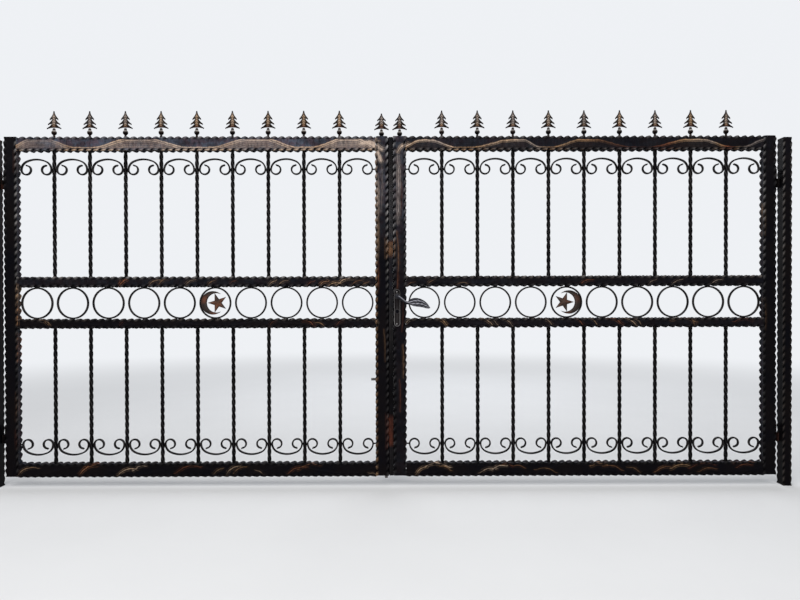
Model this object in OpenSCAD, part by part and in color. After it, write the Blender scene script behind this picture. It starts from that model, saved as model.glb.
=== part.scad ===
// Double leaf driveway gate with its two posts: embossed tube frames filled with twisted
// bars, C scrolls and a band of rings, and topped by a row of pine tree finials.
// The origin is the middle of the left post's foot. X runs across the opening, Y runs
// inwards, the way the leaves swing, and Z runs up.

/* [Leaf frame] */
// Number of bays between the stiles of one leaf
bays = 10; // [5:1:14]
// Distance from one upright bar to the next
bay_pitch = 165; // [150:1:200]
// Face width of the stiles
stile_w = 60; // [50:1:80]
// Face height of the top and bottom rails
rail_h = 60; // [50:1:80]
// Face height of the upper middle rail
upper_mid_h = 45; // [34:1:60]
// Face height of the lower middle rail
lower_mid_h = 40; // [34:1:60]
// Depth of every frame tube, front to back
tube_d = 40; // [34:1:60]
// Height of the upper panel of bars
upper_panel_h = 585; // [400:1:800]
// Height of the band of rings
band_h = 147; // [137:1:180]
// Height of the lower panel of bars
lower_panel_h = 628; // [400:1:800]

/* [Tube edges] */
// Width of the flat that runs along each edge of a tube, measured along its faces
edge_cut = 3; // [1:0.5:6]

/* [Posts and gaps] */
// Face width of a post
post_w = 40; // [34:1:80]
// Depth of a post, front to back
post_d = 60; // [56:1:100]
// How far the posts end below the tops of the leaves
post_drop = 6; // [0:1:40]
// Gap between the ground and the leaves
ground_gap = 50; // [30:1:90]
// Gap between a post and its leaf
hinge_gap = 28; // [26:1:40]
// Gap between the two leaves
meeting_gap = 24; // [24:1:40]

/* [Twisted bars] */
// Side of the square bar
bar_side = 14; // [10:0.5:16]
// Length of bar that holds one whole turn of the twist
turn_len = 132; // [100:1:200]

/* [Scrolls] */
// Thickness of the flat strip that scrolls and rings are bent from
strip_t = 6; // [4:0.5:8]
// Width of the flat strip, front to back
strip_d = 12; // [8:1:16]
// Height of a scroll's arch above the middle of its curls
arch_rise = 48; // [44:1:60]
// Radius of the arch's shoulders
shoulder_r = 42; // [34:1:43]
// Outer radius of the turn of a curl
curl_r = 22; // [16:0.5:24]
// Radius of the last part of a curl
curl_end_r = 19; // [13:0.5:20]
// Radius of the small flick at the end of a curl
flick_r = 8; // [5:0.5:10]
// Clear distance from a scroll's arch to the rail beside it
scroll_gap = 35; // [20:1:80]
// Radius of the short studs that join the end scrolls to the stiles
stud_r = 3.5; // [2:0.5:5]

/* [Crescent and star] */
// Which ring, counted from the meeting stile, holds the crescent and star
crest_bay = 5; // [1:1:5]
// Outer radius of the crescent
crescent_r = 54.5; // [50:0.5:60]
// Radius of the round cut that makes the crescent's inner edge
crescent_cut_r = 44.8; // [40:0.2:46]
// Widest part of the crescent
crescent_w = 26.7; // [20:0.1:30]
// Radius to the tips of the star
star_r = 47.5; // [46.5:0.5:50]
// Distance from the ring's middle to the star's middle
star_shift = 11; // [10:0.5:14]
// Thickness of the star at its edge
star_edge_t = 4; // [2:0.5:8]
// Thickness of the star at its middle
star_mid_t = 16; // [10:0.5:20]

/* [Finials] */
// Height of a finial above its rail
finial_h = 125; // [100:1:160]
// Thickness of the tree shaped plate
finial_t = 8; // [5:0.5:12]
// Heights of the tips of the three skirts
skirt_z = [73, 51, 32];
// Half widths at the tips of the three skirts
skirt_half = [19, 27, 33];
// Half widths of the tree under each skirt
waist_half = [9, 13, 12];
// How far the underside of a skirt rises from its tip to the waist
skirt_rise = 4; // [2:0.5:6]
// Radius of the ball under the tree
ball_r = 11.5; // [8:0.5:13]
// Height of the ball's middle above the rail
ball_z = 18; // [14:0.5:20]
// Radius of the neck that carries ball and tree
neck_r = 5; // [3:0.5:7]
// Radius of the rib up the middle of the tree, at its foot
rib_r = 6.5; // [5:0.5:8]

/* [Hinges] */
// Outer radius of the hinge knuckles
knuckle_r = 10; // [9:0.5:11]
// Height of each half of a hinge
knuckle_h = 42; // [30:1:60]
// Radius of the hinge pins
pin_r = 6; // [5:0.5:7]
// Distance from a leaf's end to the middle of its hinge
hinge_inset = 190; // [150:1:300]
// Distance from the leaf's middle plane back to the hinge pins
pin_back = 26; // [25:0.5:28]
// Depth of the blocks and straps that join the hinges to post and leaf
strap_d = 12; // [9:0.5:14]

/* [Lock] */
// Width of the lock's plates
plate_w = 30; // [26:1:32]
// Height of the lock's plates
plate_h = 176; // [150:1:200]
// Thickness of the lock's plates
plate_t = 4; // [3:0.5:6]
// Distance from the meeting edge of the stile to the middle of the plates
lock_back = 17; // [16.5:0.5:20]
// Height of the lever's pivot above the middle of the ring band
lever_up = 29; // [10:1:40]
// Radius of the lever's collar in its plate
collar_r = 8; // [6:0.5:10]
// How far the lever's blade stands in front of its plate
lever_reach = 38; // [30:1:50]
// Thickness of the lever's blade
lever_t = 11; // [8:0.5:14]
// Points around the edge of the lever, from its pivot over the leaf to the tip and back
lever_edge = [
  [0, 9], [13, -3], [25, -17], [38, -30], [51, -34], [61, -25], [79, -19], [99, -20],
  [120, -29], [138, -44], [151, -64], [138, -67], [118, -62], [97, -59], [76, -56],
  [60, -50], [44, -47], [27, -36], [13, -21], [0, -9]
];
// Distance from the lever's pivot down to the lock's cylinder
key_drop = 70; // [64:1:84]
// Radius of the lock's cylinder
cylinder_r = 8; // [7:0.5:9]
// How far the cylinder stands out of its plates
cylinder_show = 3; // [1:0.5:6]
// Width, depth and height of the key slots
key_slot = [3, 3, 9];

/* [Drop bolt] */
// Radius of the drop bolt's rod
bolt_r = 7; // [6:0.5:9]
// Length of the drop bolt's rod
bolt_len = 470; // [460:1:600]
// Length of the handle bent over at the rod's top
bolt_handle = 70; // [40:1:110]
// How far the rod hangs below the leaf at rest
bolt_show = 22; // [5:1:40]
// Distance from the meeting edge of the leaf to the middle of the rod
bolt_back = 12; // [10:0.5:30]
// Gap between the rod and the back of the stile
bolt_off = 5; // [4:0.5:10]

/* [Closing strip] */
// Clear gap between the strip and the other leaf
cover_gap = 6.2; // [6.2:0.1:8]
// Width of the strip's nose
cover_nose = 13; // [10:0.5:15]
// Thickness of the web that joins the strip to its leaf
cover_web = 8; // [4:1:12]
// How far the nose lies behind the leaves' front
cover_set = 3; // [1:0.5:8]

/* [Clearances] */
// Gap left where pieces are seated on each other by a weld
seat = 0.3; // [0.2:0.05:0.5]
// Radial clearance of pins and rods in their bores
running = 0.05; // [0.02:0.01:0.09]

/* [Hidden] */
$fn = 48;
cut = 1;
pin_short = 3;

iron = [0.10, 0.10, 0.13];
gilt = [0.52, 0.40, 0.26];
steel = [0.62, 0.62, 0.60];

// Levels, from the ground up.
leaf_z = ground_gap;
lower_panel_z = leaf_z + rail_h;
lower_mid_z = lower_panel_z + lower_panel_h;
band_z = lower_mid_z + lower_mid_h;
upper_mid_z = band_z + band_h;
upper_panel_z = upper_mid_z + upper_mid_h;
top_rail_z = upper_panel_z + upper_panel_h;
leaf_top_z = top_rail_z + rail_h;
leaf_h = leaf_top_z - leaf_z;
band_mid_z = band_z + band_h / 2;

// Places across the gate.
panel_w = bays * bay_pitch;
leaf_w = 2 * stile_w + panel_w;
left_edge_x = post_w / 2 + hinge_gap;
gate_mid_x = left_edge_x + leaf_w + meeting_gap / 2;
gate_w = 2 * gate_mid_x;
pin_x = post_w / 2 + hinge_gap / 2;

// Bars and scrolls.
bar_corner = bar_side / sqrt(2);
slice_turn = 45;
corner_turn = 45;
scroll_half = bay_pitch / 2 - bar_corner - seat - strip_t / 2;
shoulder_run = scroll_half - shoulder_r;
shoulder_lift = arch_rise - shoulder_r;
crown_drop = (pow(shoulder_run, 2) - pow(shoulder_lift, 2)) / (2 * shoulder_lift);
crown_r = shoulder_r + shoulder_lift + crown_drop;
crown_turn = atan2(shoulder_run, crown_drop);
scroll_inset = scroll_gap + strip_t / 2 + arch_rise;
upper_scroll_z = top_rail_z - scroll_inset;
lower_scroll_z = lower_panel_z + scroll_inset;

// Rings, crescent and star.
ring_r = band_h / 2 - seat;
ring_in_r = ring_r - strip_t;
crescent_x = ring_in_r - seat - crescent_r;
crescent_cut_x = crescent_x + crescent_r - crescent_w - crescent_cut_r;
star_waist = star_r * 0.382;

// Finials.
tip_half = 1;
skirt_lip = 1.5;
skirt_flare = 1.8;

// Lock.
lever_z = band_mid_z + lever_up;
plate_top = 32;
plate_mid_z = lever_z + plate_top - plate_h / 2;
lock_x = gate_mid_x + meeting_gap / 2 + lock_back;
hole_spare = 3;
lever_steps = 4;

// Drop bolt.
bolt_x = gate_mid_x - meeting_gap / 2 - bolt_back;
bolt_y = tube_d / 2 + bolt_off + bolt_r;
guide_h = 26;
guide_wall = 4;
guide_web = 6;
guide_z = [rail_h + 40, rail_h + 260];

function mix(a, b, t) = a + (b - a) * t;
function dir(a) = [cos(a), sin(a)];

// A bent strip is a chain of arcs, each [radius, end angle, steps]. A negative radius
// bends the other way. Each arc starts where the one before it ends, in its direction.
function arc_mid(arcs, first, i) =
  i == 0 ? first : arc_mid(arcs, first, i - 1) + (arcs[i - 1][0] - arcs[i][0]) * dir(arcs[i - 1][1]);
function arc_start(arcs, angle, i) = i == 0 ? angle : arcs[i - 1][1];
function bent_side(arcs, first, angle, shift) = [
  for (i = [0 : len(arcs) - 1])
    let (m = arc_mid(arcs, first, i), a = arc_start(arcs, angle, i), b = arcs[i][1], n = arcs[i][2])
      for (k = [(i == 0 ? 0 : 1) : n]) m + (arcs[i][0] + shift) * dir(mix(a, b, k / n))
];

// A smooth curve through the points of a list, at t from 0 to its last index.
function through(list, t) =
  let (
    last = len(list) - 1, i = min(floor(t), last - 1), f = t - i,
    a = list[max(i - 1, 0)], b = list[i], c = list[i + 1], d = list[min(i + 2, last)]
  )
    b + f * (c - a + f * (2 * a - 5 * b + 4 * c - d + f * (3 * b - a - 3 * c + d))) / 2;
function reversed(list) = [for (i = [len(list) - 1 : -1 : 0]) list[i]];
function flipped(list) = [for (p = list) [-p[0], p[1]]];
function tail(list) = [for (i = [1 : len(list) - 1]) list[i]];

// One tube with its edges cut flat, standing from z = 0, w wide and d deep.
module tube(w, d, len) {
  x = w / 2;
  y = d / 2;
  linear_extrude(len)
    polygon([
      [x, y - edge_cut], [x - edge_cut, y], [edge_cut - x, y], [-x, y - edge_cut],
      [-x, edge_cut - y], [edge_cut - x, -y], [x - edge_cut, -y], [x, edge_cut - y]
    ]);
}

// A rail lies between the stiles and ends against their flat faces.
module rail(h, x, z) {
  translate([x - panel_w / 2, 0, z + h / 2])
    rotate([0, 90, 0])
      tube(h, tube_d, panel_w);
}

// Side is 0 for the left leaf and 1 for the right one, and u runs from the hinge edge.
function across(side, u) = side == 0 ? left_edge_x + u : gate_w - left_edge_x - u;
function leaf_mid(side) = across(side, leaf_w / 2);
function bar_x(side, i) = across(side, stile_w + i * bay_pitch);
function bay_x(side, i) = across(side, stile_w + (i - 0.5) * bay_pitch);

module post(x) {
  translate([x, 0, 0])
    color(iron)
      tube(post_w, post_d, leaf_top_z - post_drop);
}

module left_post() {
  post(0);
}

module right_post() {
  post(gate_w);
}

// Mirrors what is drawn for the left side onto the right side.
module on_side(side) {
  if (side == 0)
    children();
  else
    translate([gate_w, 0, 0])
      mirror([1, 0, 0])
        children();
}

function hinge_levels() = [leaf_z + hinge_inset, leaf_top_z - hinge_inset];

// The halves on the post carry the pins. Each has a weld block on the post's flat face.
module hinge_pins(side) {
  face = post_w / 2;
  block_w = pin_x - pin_r / 2 - face;
  on_side(side)
    for (z = hinge_levels())
      translate([0, 0, z - knuckle_h])
        color(iron) {
          translate([pin_x, pin_back, 0]) {
            cylinder(r = knuckle_r, h = knuckle_h);
            cylinder(r = pin_r, h = 2 * knuckle_h - pin_short);
          }
          translate([face, pin_back - knuckle_r / 2 - strap_d, 0])
            cube([block_w, strap_d, knuckle_h]);
        }
}

module left_hinge_pins() {
  hinge_pins(0);
}

module right_hinge_pins() {
  hinge_pins(1);
}

// The halves on the leaf turn on the pins. A bent strap joins each to the stile.
module hinge_barrels(side) {
  face = left_edge_x;
  strap_y = tube_d / 2 - edge_cut - 2;
  bore_y = pin_back - pin_r;
  on_side(side)
    for (z = hinge_levels())
      translate([0, 0, z + seat])
        color(iron)
          difference() {
            union() {
              translate([pin_x, pin_back, 0])
                cylinder(r = knuckle_r, h = knuckle_h);
              linear_extrude(knuckle_h)
                polygon([
                  [face, strap_y - strap_d], [face, strap_y], [pin_x + knuckle_r, strap_y],
                  [pin_x + pin_r, bore_y], [pin_x - pin_r, bore_y], [pin_x, strap_y - strap_d]
                ]);
            }
            translate([pin_x, pin_back, -cut])
              cylinder(r = pin_r + running, h = knuckle_h + 2 * cut);
          }
}

module left_hinge_barrels() {
  hinge_barrels(0);
}

module right_hinge_barrels() {
  hinge_barrels(1);
}

module stile(x) {
  translate([x, 0, leaf_z])
    color(iron)
      tube(stile_w, tube_d, leaf_h);
}

module left_hinge_stile() {
  stile(across(0, stile_w / 2));
}

module right_hinge_stile() {
  stile(across(1, stile_w / 2));
}

module left_meeting_stile() {
  stile(across(0, leaf_w - stile_w / 2));
}

// The stile that holds the lock is drilled for the lever's spindle and for the cylinder.
module right_meeting_stile() {
  difference() {
    stile(across(1, leaf_w - stile_w / 2));
    color(iron) {
      translate([lock_x, 0, lever_z])
        rotate([90, 0, 0])
          cylinder(r = collar_r + hole_spare, h = 2 * tube_d, center = true);
      translate([lock_x, 0, lever_z - key_drop])
        rotate([90, 0, 0])
          cylinder(r = cylinder_r + seat, h = 2 * tube_d, center = true);
    }
  }
}

module left_top_rail() {
  color(iron) rail(rail_h, leaf_mid(0), top_rail_z);
}

module left_upper_middle_rail() {
  color(iron) rail(upper_mid_h, leaf_mid(0), upper_mid_z);
}

module left_lower_middle_rail() {
  color(iron) rail(lower_mid_h, leaf_mid(0), lower_mid_z);
}

module left_bottom_rail() {
  color(iron) rail(rail_h, leaf_mid(0), leaf_z);
}

module right_top_rail() {
  color(iron) rail(rail_h, leaf_mid(1), top_rail_z);
}

module right_upper_middle_rail() {
  color(iron) rail(upper_mid_h, leaf_mid(1), upper_mid_z);
}

module right_lower_middle_rail() {
  color(iron) rail(lower_mid_h, leaf_mid(1), lower_mid_z);
}

module right_bottom_rail() {
  color(iron) rail(rail_h, leaf_mid(1), leaf_z);
}

// A row of square bars twisted from end to end, welded between two rails. At the level of
// the scrolls' middle a corner of each bar points to the scroll on each side.
module twisted_bars(side, z, h, scroll_z) {
  turn = 360 * h / turn_len;
  start = corner_turn + 360 * (scroll_z - z) / turn_len;
  for (i = [1 : bays - 1])
    translate([bar_x(side, i), 0, z])
      rotate([0, 0, start])
        color(iron)
          linear_extrude(height = h, twist = turn, slices = round(turn / slice_turn), segments = 4)
            square(bar_side, center = true);
}

module left_upper_bars() {
  twisted_bars(0, upper_panel_z, upper_panel_h, upper_scroll_z);
}

module left_lower_bars() {
  twisted_bars(0, lower_panel_z, lower_panel_h, lower_scroll_z);
}

module right_upper_bars() {
  twisted_bars(1, upper_panel_z, upper_panel_h, upper_scroll_z);
}

module right_lower_bars() {
  twisted_bars(1, lower_panel_z, lower_panel_h, lower_scroll_z);
}

// Outline of a C scroll, arch up, with the middle of its curls at the origin's level.
module scroll_outline() {
  arcs = [
    [crown_r, 90 + crown_turn, 4],
    [shoulder_r, 180, 6],
    [curl_r, 360, 11],
    [curl_end_r, 440, 5],
    [-flick_r, 385, 3]
  ];
  top = [0, -crown_drop];
  outer = bent_side(arcs, top, 90, strip_t / 2);
  inner = bent_side(arcs, top, 90, -strip_t / 2);
  polygon(concat(outer, reversed(inner), tail(flipped(inner)), reversed(tail(flipped(outer)))));
}

// The stud of an end scroll. Way is -1 or 1, the direction to the stile.
module end_stud(way) {
  translate([way * scroll_half, 0, 0])
    rotate([0, way * 90, 0])
      cylinder(r = stud_r, h = bay_pitch / 2 - scroll_half);
}

// A row of scrolls, one in each bay, at level z. Up is 1 with the arch above its curls
// and -1 with the arch below them.
module scroll_row(side, z, up) {
  for (i = [1 : bays])
    translate([bay_x(side, i), 0, z])
      color(iron) {
        rotate([90, 0, 0])
          linear_extrude(height = strip_d, center = true)
            mirror([0, up < 0 ? 1 : 0])
              scroll_outline();
        if (i == 1)
          end_stud(2 * side - 1);
        if (i == bays)
          end_stud(1 - 2 * side);
      }
}

module left_upper_scrolls() {
  scroll_row(0, upper_scroll_z, 1);
}

module left_lower_scrolls() {
  scroll_row(0, lower_scroll_z, -1);
}

module right_upper_scrolls() {
  scroll_row(1, upper_scroll_z, 1);
}

module right_lower_scrolls() {
  scroll_row(1, lower_scroll_z, -1);
}

module rings(side) {
  for (i = [1 : bays])
    translate([bay_x(side, i), 0, band_mid_z])
      rotate([90, 0, 0])
        color(iron)
          difference() {
            cylinder(r = ring_r, h = strip_d, center = true);
            cylinder(r = ring_in_r, h = strip_d + 2 * cut, center = true);
          }
}

module left_rings() {
  rings(0);
}

module right_rings() {
  rings(1);
}

// A star with raised middle, front and back, one tip along +X.
module star() {
  rim = [for (i = [0 : 9]) (i % 2 == 0 ? star_r : star_waist) * dir(36 * i)];
  front = [for (p = rim) [p[0], -star_edge_t / 2, p[1]]];
  back = [for (p = rim) [p[0], star_edge_t / 2, p[1]]];
  peaks = [[0, -star_mid_t / 2, 0], [0, star_mid_t / 2, 0]];
  polyhedron(
    points = concat(front, back, peaks),
    faces = concat(
      [for (i = [0 : 9]) [i, 20, (i + 1) % 10]],
      [for (i = [0 : 9]) [10 + (i + 1) % 10, 21, 10 + i]],
      [for (i = [0 : 9]) [i, (i + 1) % 10, 10 + (i + 1) % 10]],
      [for (i = [0 : 9]) [i, 10 + (i + 1) % 10, 10 + i]]
    )
  );
}

// The crescent's back lies against the ring, on the hinge side, and two tips of the star
// run into its horns.
module crescent_and_star(side) {
  translate([bay_x(side, bays + 1 - crest_bay), 0, band_mid_z])
    mirror([side == 0 ? 1 : 0, 0, 0])
      color(gilt)
        union() {
          rotate([90, 0, 0])
            difference() {
              translate([crescent_x, 0, 0])
                cylinder(r = crescent_r, h = strip_d, center = true);
              translate([crescent_cut_x, 0, 0])
                cylinder(r = crescent_cut_r, h = strip_d + 2 * cut, center = true);
            }
          translate([-star_shift, 0, 0])
            star();
        }
}

module left_crescent_and_star() {
  crescent_and_star(0);
}

module right_crescent_and_star() {
  crescent_and_star(1);
}

// Half outline of the tree, from its tip down to its foot. A skirt flares out to a thin tip,
// and its underside rises to the waist.
function skirt_edge(x0, z0, x1, z1) = concat(
  [for (k = [0 : 4]) [mix(x0, x1, pow(k / 4, skirt_flare)), mix(z0, z1, k / 4)]],
  [[x1 - skirt_lip, z1 - skirt_lip]]
);
function tree_half() = concat(
  skirt_edge(tip_half, finial_h, skirt_half[0], skirt_z[0]),
  skirt_edge(waist_half[0], skirt_z[0] + skirt_rise, skirt_half[1], skirt_z[1]),
  skirt_edge(waist_half[1], skirt_z[1] + skirt_rise, skirt_half[2], skirt_z[2]),
  [[waist_half[2], skirt_z[2] + skirt_rise]]
);

// A pine tree finial on its ball and neck, standing on z = 0.
module finial() {
  rotate([90, 0, 0])
    linear_extrude(height = finial_t, center = true)
      polygon(concat(tree_half(), reversed(flipped(tree_half()))));
  cylinder(r = neck_r, h = skirt_z[2] + skirt_rise);
  translate([0, 0, skirt_z[2]])
    cylinder(r1 = rib_r, r2 = tip_half, h = finial_h - skirt_z[2]);
  translate([0, 0, ball_z])
    sphere(r = ball_r);
}

// A finial stands over each bar and one on the meeting stile.
module finial_row(side) {
  for (i = [1 : bays - 1])
    translate([bar_x(side, i), 0, leaf_top_z])
      color(gilt)
        finial();
  translate([across(side, leaf_w - stile_w / 2), 0, leaf_top_z])
    color(gilt)
      finial();
}

module left_finials() {
  finial_row(0);
}

module right_finials() {
  finial_row(1);
}

// The strip on the edge of the left leaf, which covers the gap between the leaves.
module closing_strip() {
  edge_x = gate_mid_x - meeting_gap / 2;
  far_x = gate_mid_x + meeting_gap / 2 - cover_gap;
  near_x = far_x - cover_nose;
  front_y = cover_set - tube_d / 2;
  color(iron)
    translate([0, 0, leaf_z])
      linear_extrude(leaf_h)
        polygon([
          [edge_x, 0], [near_x, 0], [near_x, front_y], [far_x, front_y],
          [far_x, cover_web], [edge_x, cover_web]
        ]);
}

// Guides of the drop bolt: bored blocks welded to the back of the left leaf's stile.
module drop_bolt_guides() {
  back = tube_d / 2;
  for (z = guide_z)
    translate([0, 0, leaf_z + z])
      color(iron)
        difference() {
          union() {
            translate([bolt_x, bolt_y, 0])
              cylinder(r = bolt_r + guide_wall, h = guide_h);
            translate([bolt_x - bolt_r - guide_wall, back, 0])
              cube([guide_web, bolt_y - back, guide_h]);
          }
          translate([bolt_x, bolt_y, -cut])
            cylinder(r = bolt_r + running, h = guide_h + 2 * cut);
        }
}

// The rod of the drop bolt with its bent over handle.
module drop_bolt() {
  foot = leaf_z - bolt_show;
  color(iron)
    union() {
      translate([bolt_x, bolt_y, foot])
        cylinder(r = bolt_r, h = bolt_len);
      translate([bolt_x, bolt_y, foot + bolt_len - bolt_r])
        rotate([0, -90, 0])
          cylinder(r = bolt_r - 1, h = bolt_handle);
    }
}

// Outline of a lock plate: a long plate with round ends.
module plate_outline() {
  translate([-plate_w / 2, -plate_h / 2 + plate_w / 2])
    square([plate_w, plate_h - plate_w]);
  for (s = [-1, 1])
    translate([0, s * (plate_h / 2 - plate_w / 2)])
      circle(d = plate_w);
}

// The plates lie on the stile's faces, front and back, and bear the lever's collars.
module lock_plates() {
  for (s = [-1, 1])
    color(iron)
      difference() {
        translate([lock_x, s * (tube_d + plate_t) / 2, plate_mid_z])
          rotate([90, 0, 0])
            linear_extrude(height = plate_t, center = true)
              plate_outline();
        translate([lock_x, s * tube_d / 2, lever_z])
          rotate([90, 0, 0])
            cylinder(r = collar_r + running, h = 4 * plate_t, center = true);
        translate([lock_x, s * tube_d / 2, lever_z - key_drop])
          rotate([90, 0, 0])
            cylinder(r = cylinder_r + seat, h = 4 * plate_t, center = true);
      }
}

module lock_cylinder() {
  out = tube_d / 2 + plate_t + cylinder_show;
  color(steel)
    translate([lock_x, 0, lever_z - key_drop])
      difference() {
        rotate([90, 0, 0])
          cylinder(r = cylinder_r, h = 2 * out, center = true);
        for (s = [-1, 1])
          translate([0, s * out, 0])
            cube([key_slot[0], 2 * key_slot[1], key_slot[2]], center = true);
      }
}

// Outline of the lever: a boss on the pivot, a thin neck that dips and a leaf.
module lever_outline() {
  last = len(lever_edge) - 1;
  circle(r = collar_r + 3);
  polygon([for (k = [0 : lever_steps * last]) through(lever_edge, k / lever_steps)]);
}

// The two levers turn together on one spindle through the lock.
module lever_handles() {
  out = tube_d / 2 + plate_t + lever_reach;
  translate([lock_x, 0, lever_z])
    color(steel)
      union() {
        rotate([90, 0, 0])
          cylinder(r = collar_r, h = 2 * out, center = true);
        for (s = [-1, 1])
          translate([0, s * (out - lever_t / 2), 0])
            rotate([90, 0, 0])
              linear_extrude(height = lever_t, center = true)
                lever_outline();
      }
}

left_post();
right_post();
left_hinge_pins();
right_hinge_pins();
left_hinge_stile();
left_meeting_stile();
left_top_rail();
left_upper_middle_rail();
left_lower_middle_rail();
left_bottom_rail();
left_upper_bars();
left_lower_bars();
left_upper_scrolls();
left_lower_scrolls();
left_rings();
left_crescent_and_star();
left_finials();
left_hinge_barrels();
closing_strip();
drop_bolt_guides();
drop_bolt();
right_hinge_stile();
right_meeting_stile();
right_top_rail();
right_upper_middle_rail();
right_lower_middle_rail();
right_bottom_rail();
right_upper_bars();
right_lower_bars();
right_upper_scrolls();
right_lower_scrolls();
right_rings();
right_crescent_and_star();
right_finials();
right_hinge_barrels();
lock_plates();
lock_cylinder();
lever_handles();
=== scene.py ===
import math
import bpy
import numpy as np
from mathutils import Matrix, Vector


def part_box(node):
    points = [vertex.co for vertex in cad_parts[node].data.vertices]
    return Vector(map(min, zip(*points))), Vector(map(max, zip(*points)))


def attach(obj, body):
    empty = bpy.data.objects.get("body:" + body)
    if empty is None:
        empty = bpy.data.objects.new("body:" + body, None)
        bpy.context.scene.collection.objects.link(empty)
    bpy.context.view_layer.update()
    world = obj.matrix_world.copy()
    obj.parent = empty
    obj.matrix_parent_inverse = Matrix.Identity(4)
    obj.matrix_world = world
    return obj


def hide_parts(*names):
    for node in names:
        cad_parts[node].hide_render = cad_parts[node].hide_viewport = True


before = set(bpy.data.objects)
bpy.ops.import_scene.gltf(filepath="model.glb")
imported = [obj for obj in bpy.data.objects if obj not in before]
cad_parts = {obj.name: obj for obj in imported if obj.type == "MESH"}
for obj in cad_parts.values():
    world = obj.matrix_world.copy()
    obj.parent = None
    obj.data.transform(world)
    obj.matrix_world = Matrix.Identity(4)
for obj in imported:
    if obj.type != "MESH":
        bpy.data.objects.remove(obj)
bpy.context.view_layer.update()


def span(name, axis):
    """Lowest and highest place of a CAD node along an axis, in millimetres."""
    low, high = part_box(name)
    return round(low[axis] * 1000, 3), round(high[axis] * 1000, 3)


# Sizes in millimetres, as in the part's source.
BAYS = 10
PITCH = 165.0
TUBE_D = 40.0
STRIP_T = 6.0
STRIP_D = 12.0
BAR_SIDE = 14.0
TURN = 132.0
SCROLL_HALF = 69.3
SCROLL_INSET = 86.0
LEFT_EDGE, STILE_END = span("left_hinge_stile", 0)
STILE_W = STILE_END - LEFT_EDGE
LEAF_W = span("left_meeting_stile", 0)[1] - LEFT_EDGE
LEAF_Z, LEAF_TOP = span("left_hinge_stile", 2)
POST_W = 2 * span("left_post", 0)[1]
POST_D = 2 * span("left_post", 1)[1]
POST_TOP = span("left_post", 2)[1]
GATE_W = span("right_post", 0)[1] - POST_W / 2
LOWER_PANEL_Z, LOWER_MID_Z = span("left_bottom_rail", 2)[1], span("left_lower_middle_rail", 2)[0]
BAND_Z, UPPER_MID_Z = span("left_lower_middle_rail", 2)[1], span("left_upper_middle_rail", 2)[0]
UPPER_PANEL_Z, TOP_RAIL_Z = span("left_upper_middle_rail", 2)[1], span("left_top_rail", 2)[0]
BAND_MID_Z = (BAND_Z + UPPER_MID_Z) / 2
RING_R = (UPPER_MID_Z - BAND_Z) / 2 - 0.3
LEVER_Z = 880.5
LOCK_X = 1859.0
PLATE_MID_Z = 824.5
HINGE_LEVELS = (240.0, 1425.0)
SIDES = ("left", "right")

# Profile of an embossed edge from the broad face round to the side: depth below the broad
# face's outer plane and below the side's, for a lump and for the crimp between lumps.
LUMP = [(2.8, 12.0), (0.8, 9.8), (0.0, 7.0), (0.2, 3.8), (1.4, 1.3), (4.6, 0.0), (7.4, 0.9), (9.4, 5.0)]
CRIMP = [(2.8, 12.0), (3.5, 10.8), (4.8, 9.4), (5.9, 8.2), (6.8, 7.0), (7.8, 6.0), (8.8, 5.3), (9.4, 5.0)]
# How far the broad faces lie below the lumps, and how deep the crimps cut into the sides
RECESS = 2.8
NOTCH = 5.0
# Width of an edge's relief on the broad face and on the side
LIP = 12.0
SIDE_LIP = 9.4
# Slant of the crimps round an edge, and the places along one lump, in shares of its length
SLANT = 0.20
STEPS = (-0.42, -0.27, -0.15, -0.07, 0.0, 0.07, 0.15, 0.27)
PERIOD = 33.6
# Distance between the waves on the broad faces
WAVE_STEP = 480.0
# How far the lumps stand above the leaf
TOP_RISE = 4.0
# Millimetres from a brush mark's middle for the whole range of the form colour's blue
TRACK_SPAN = 80.0

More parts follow.
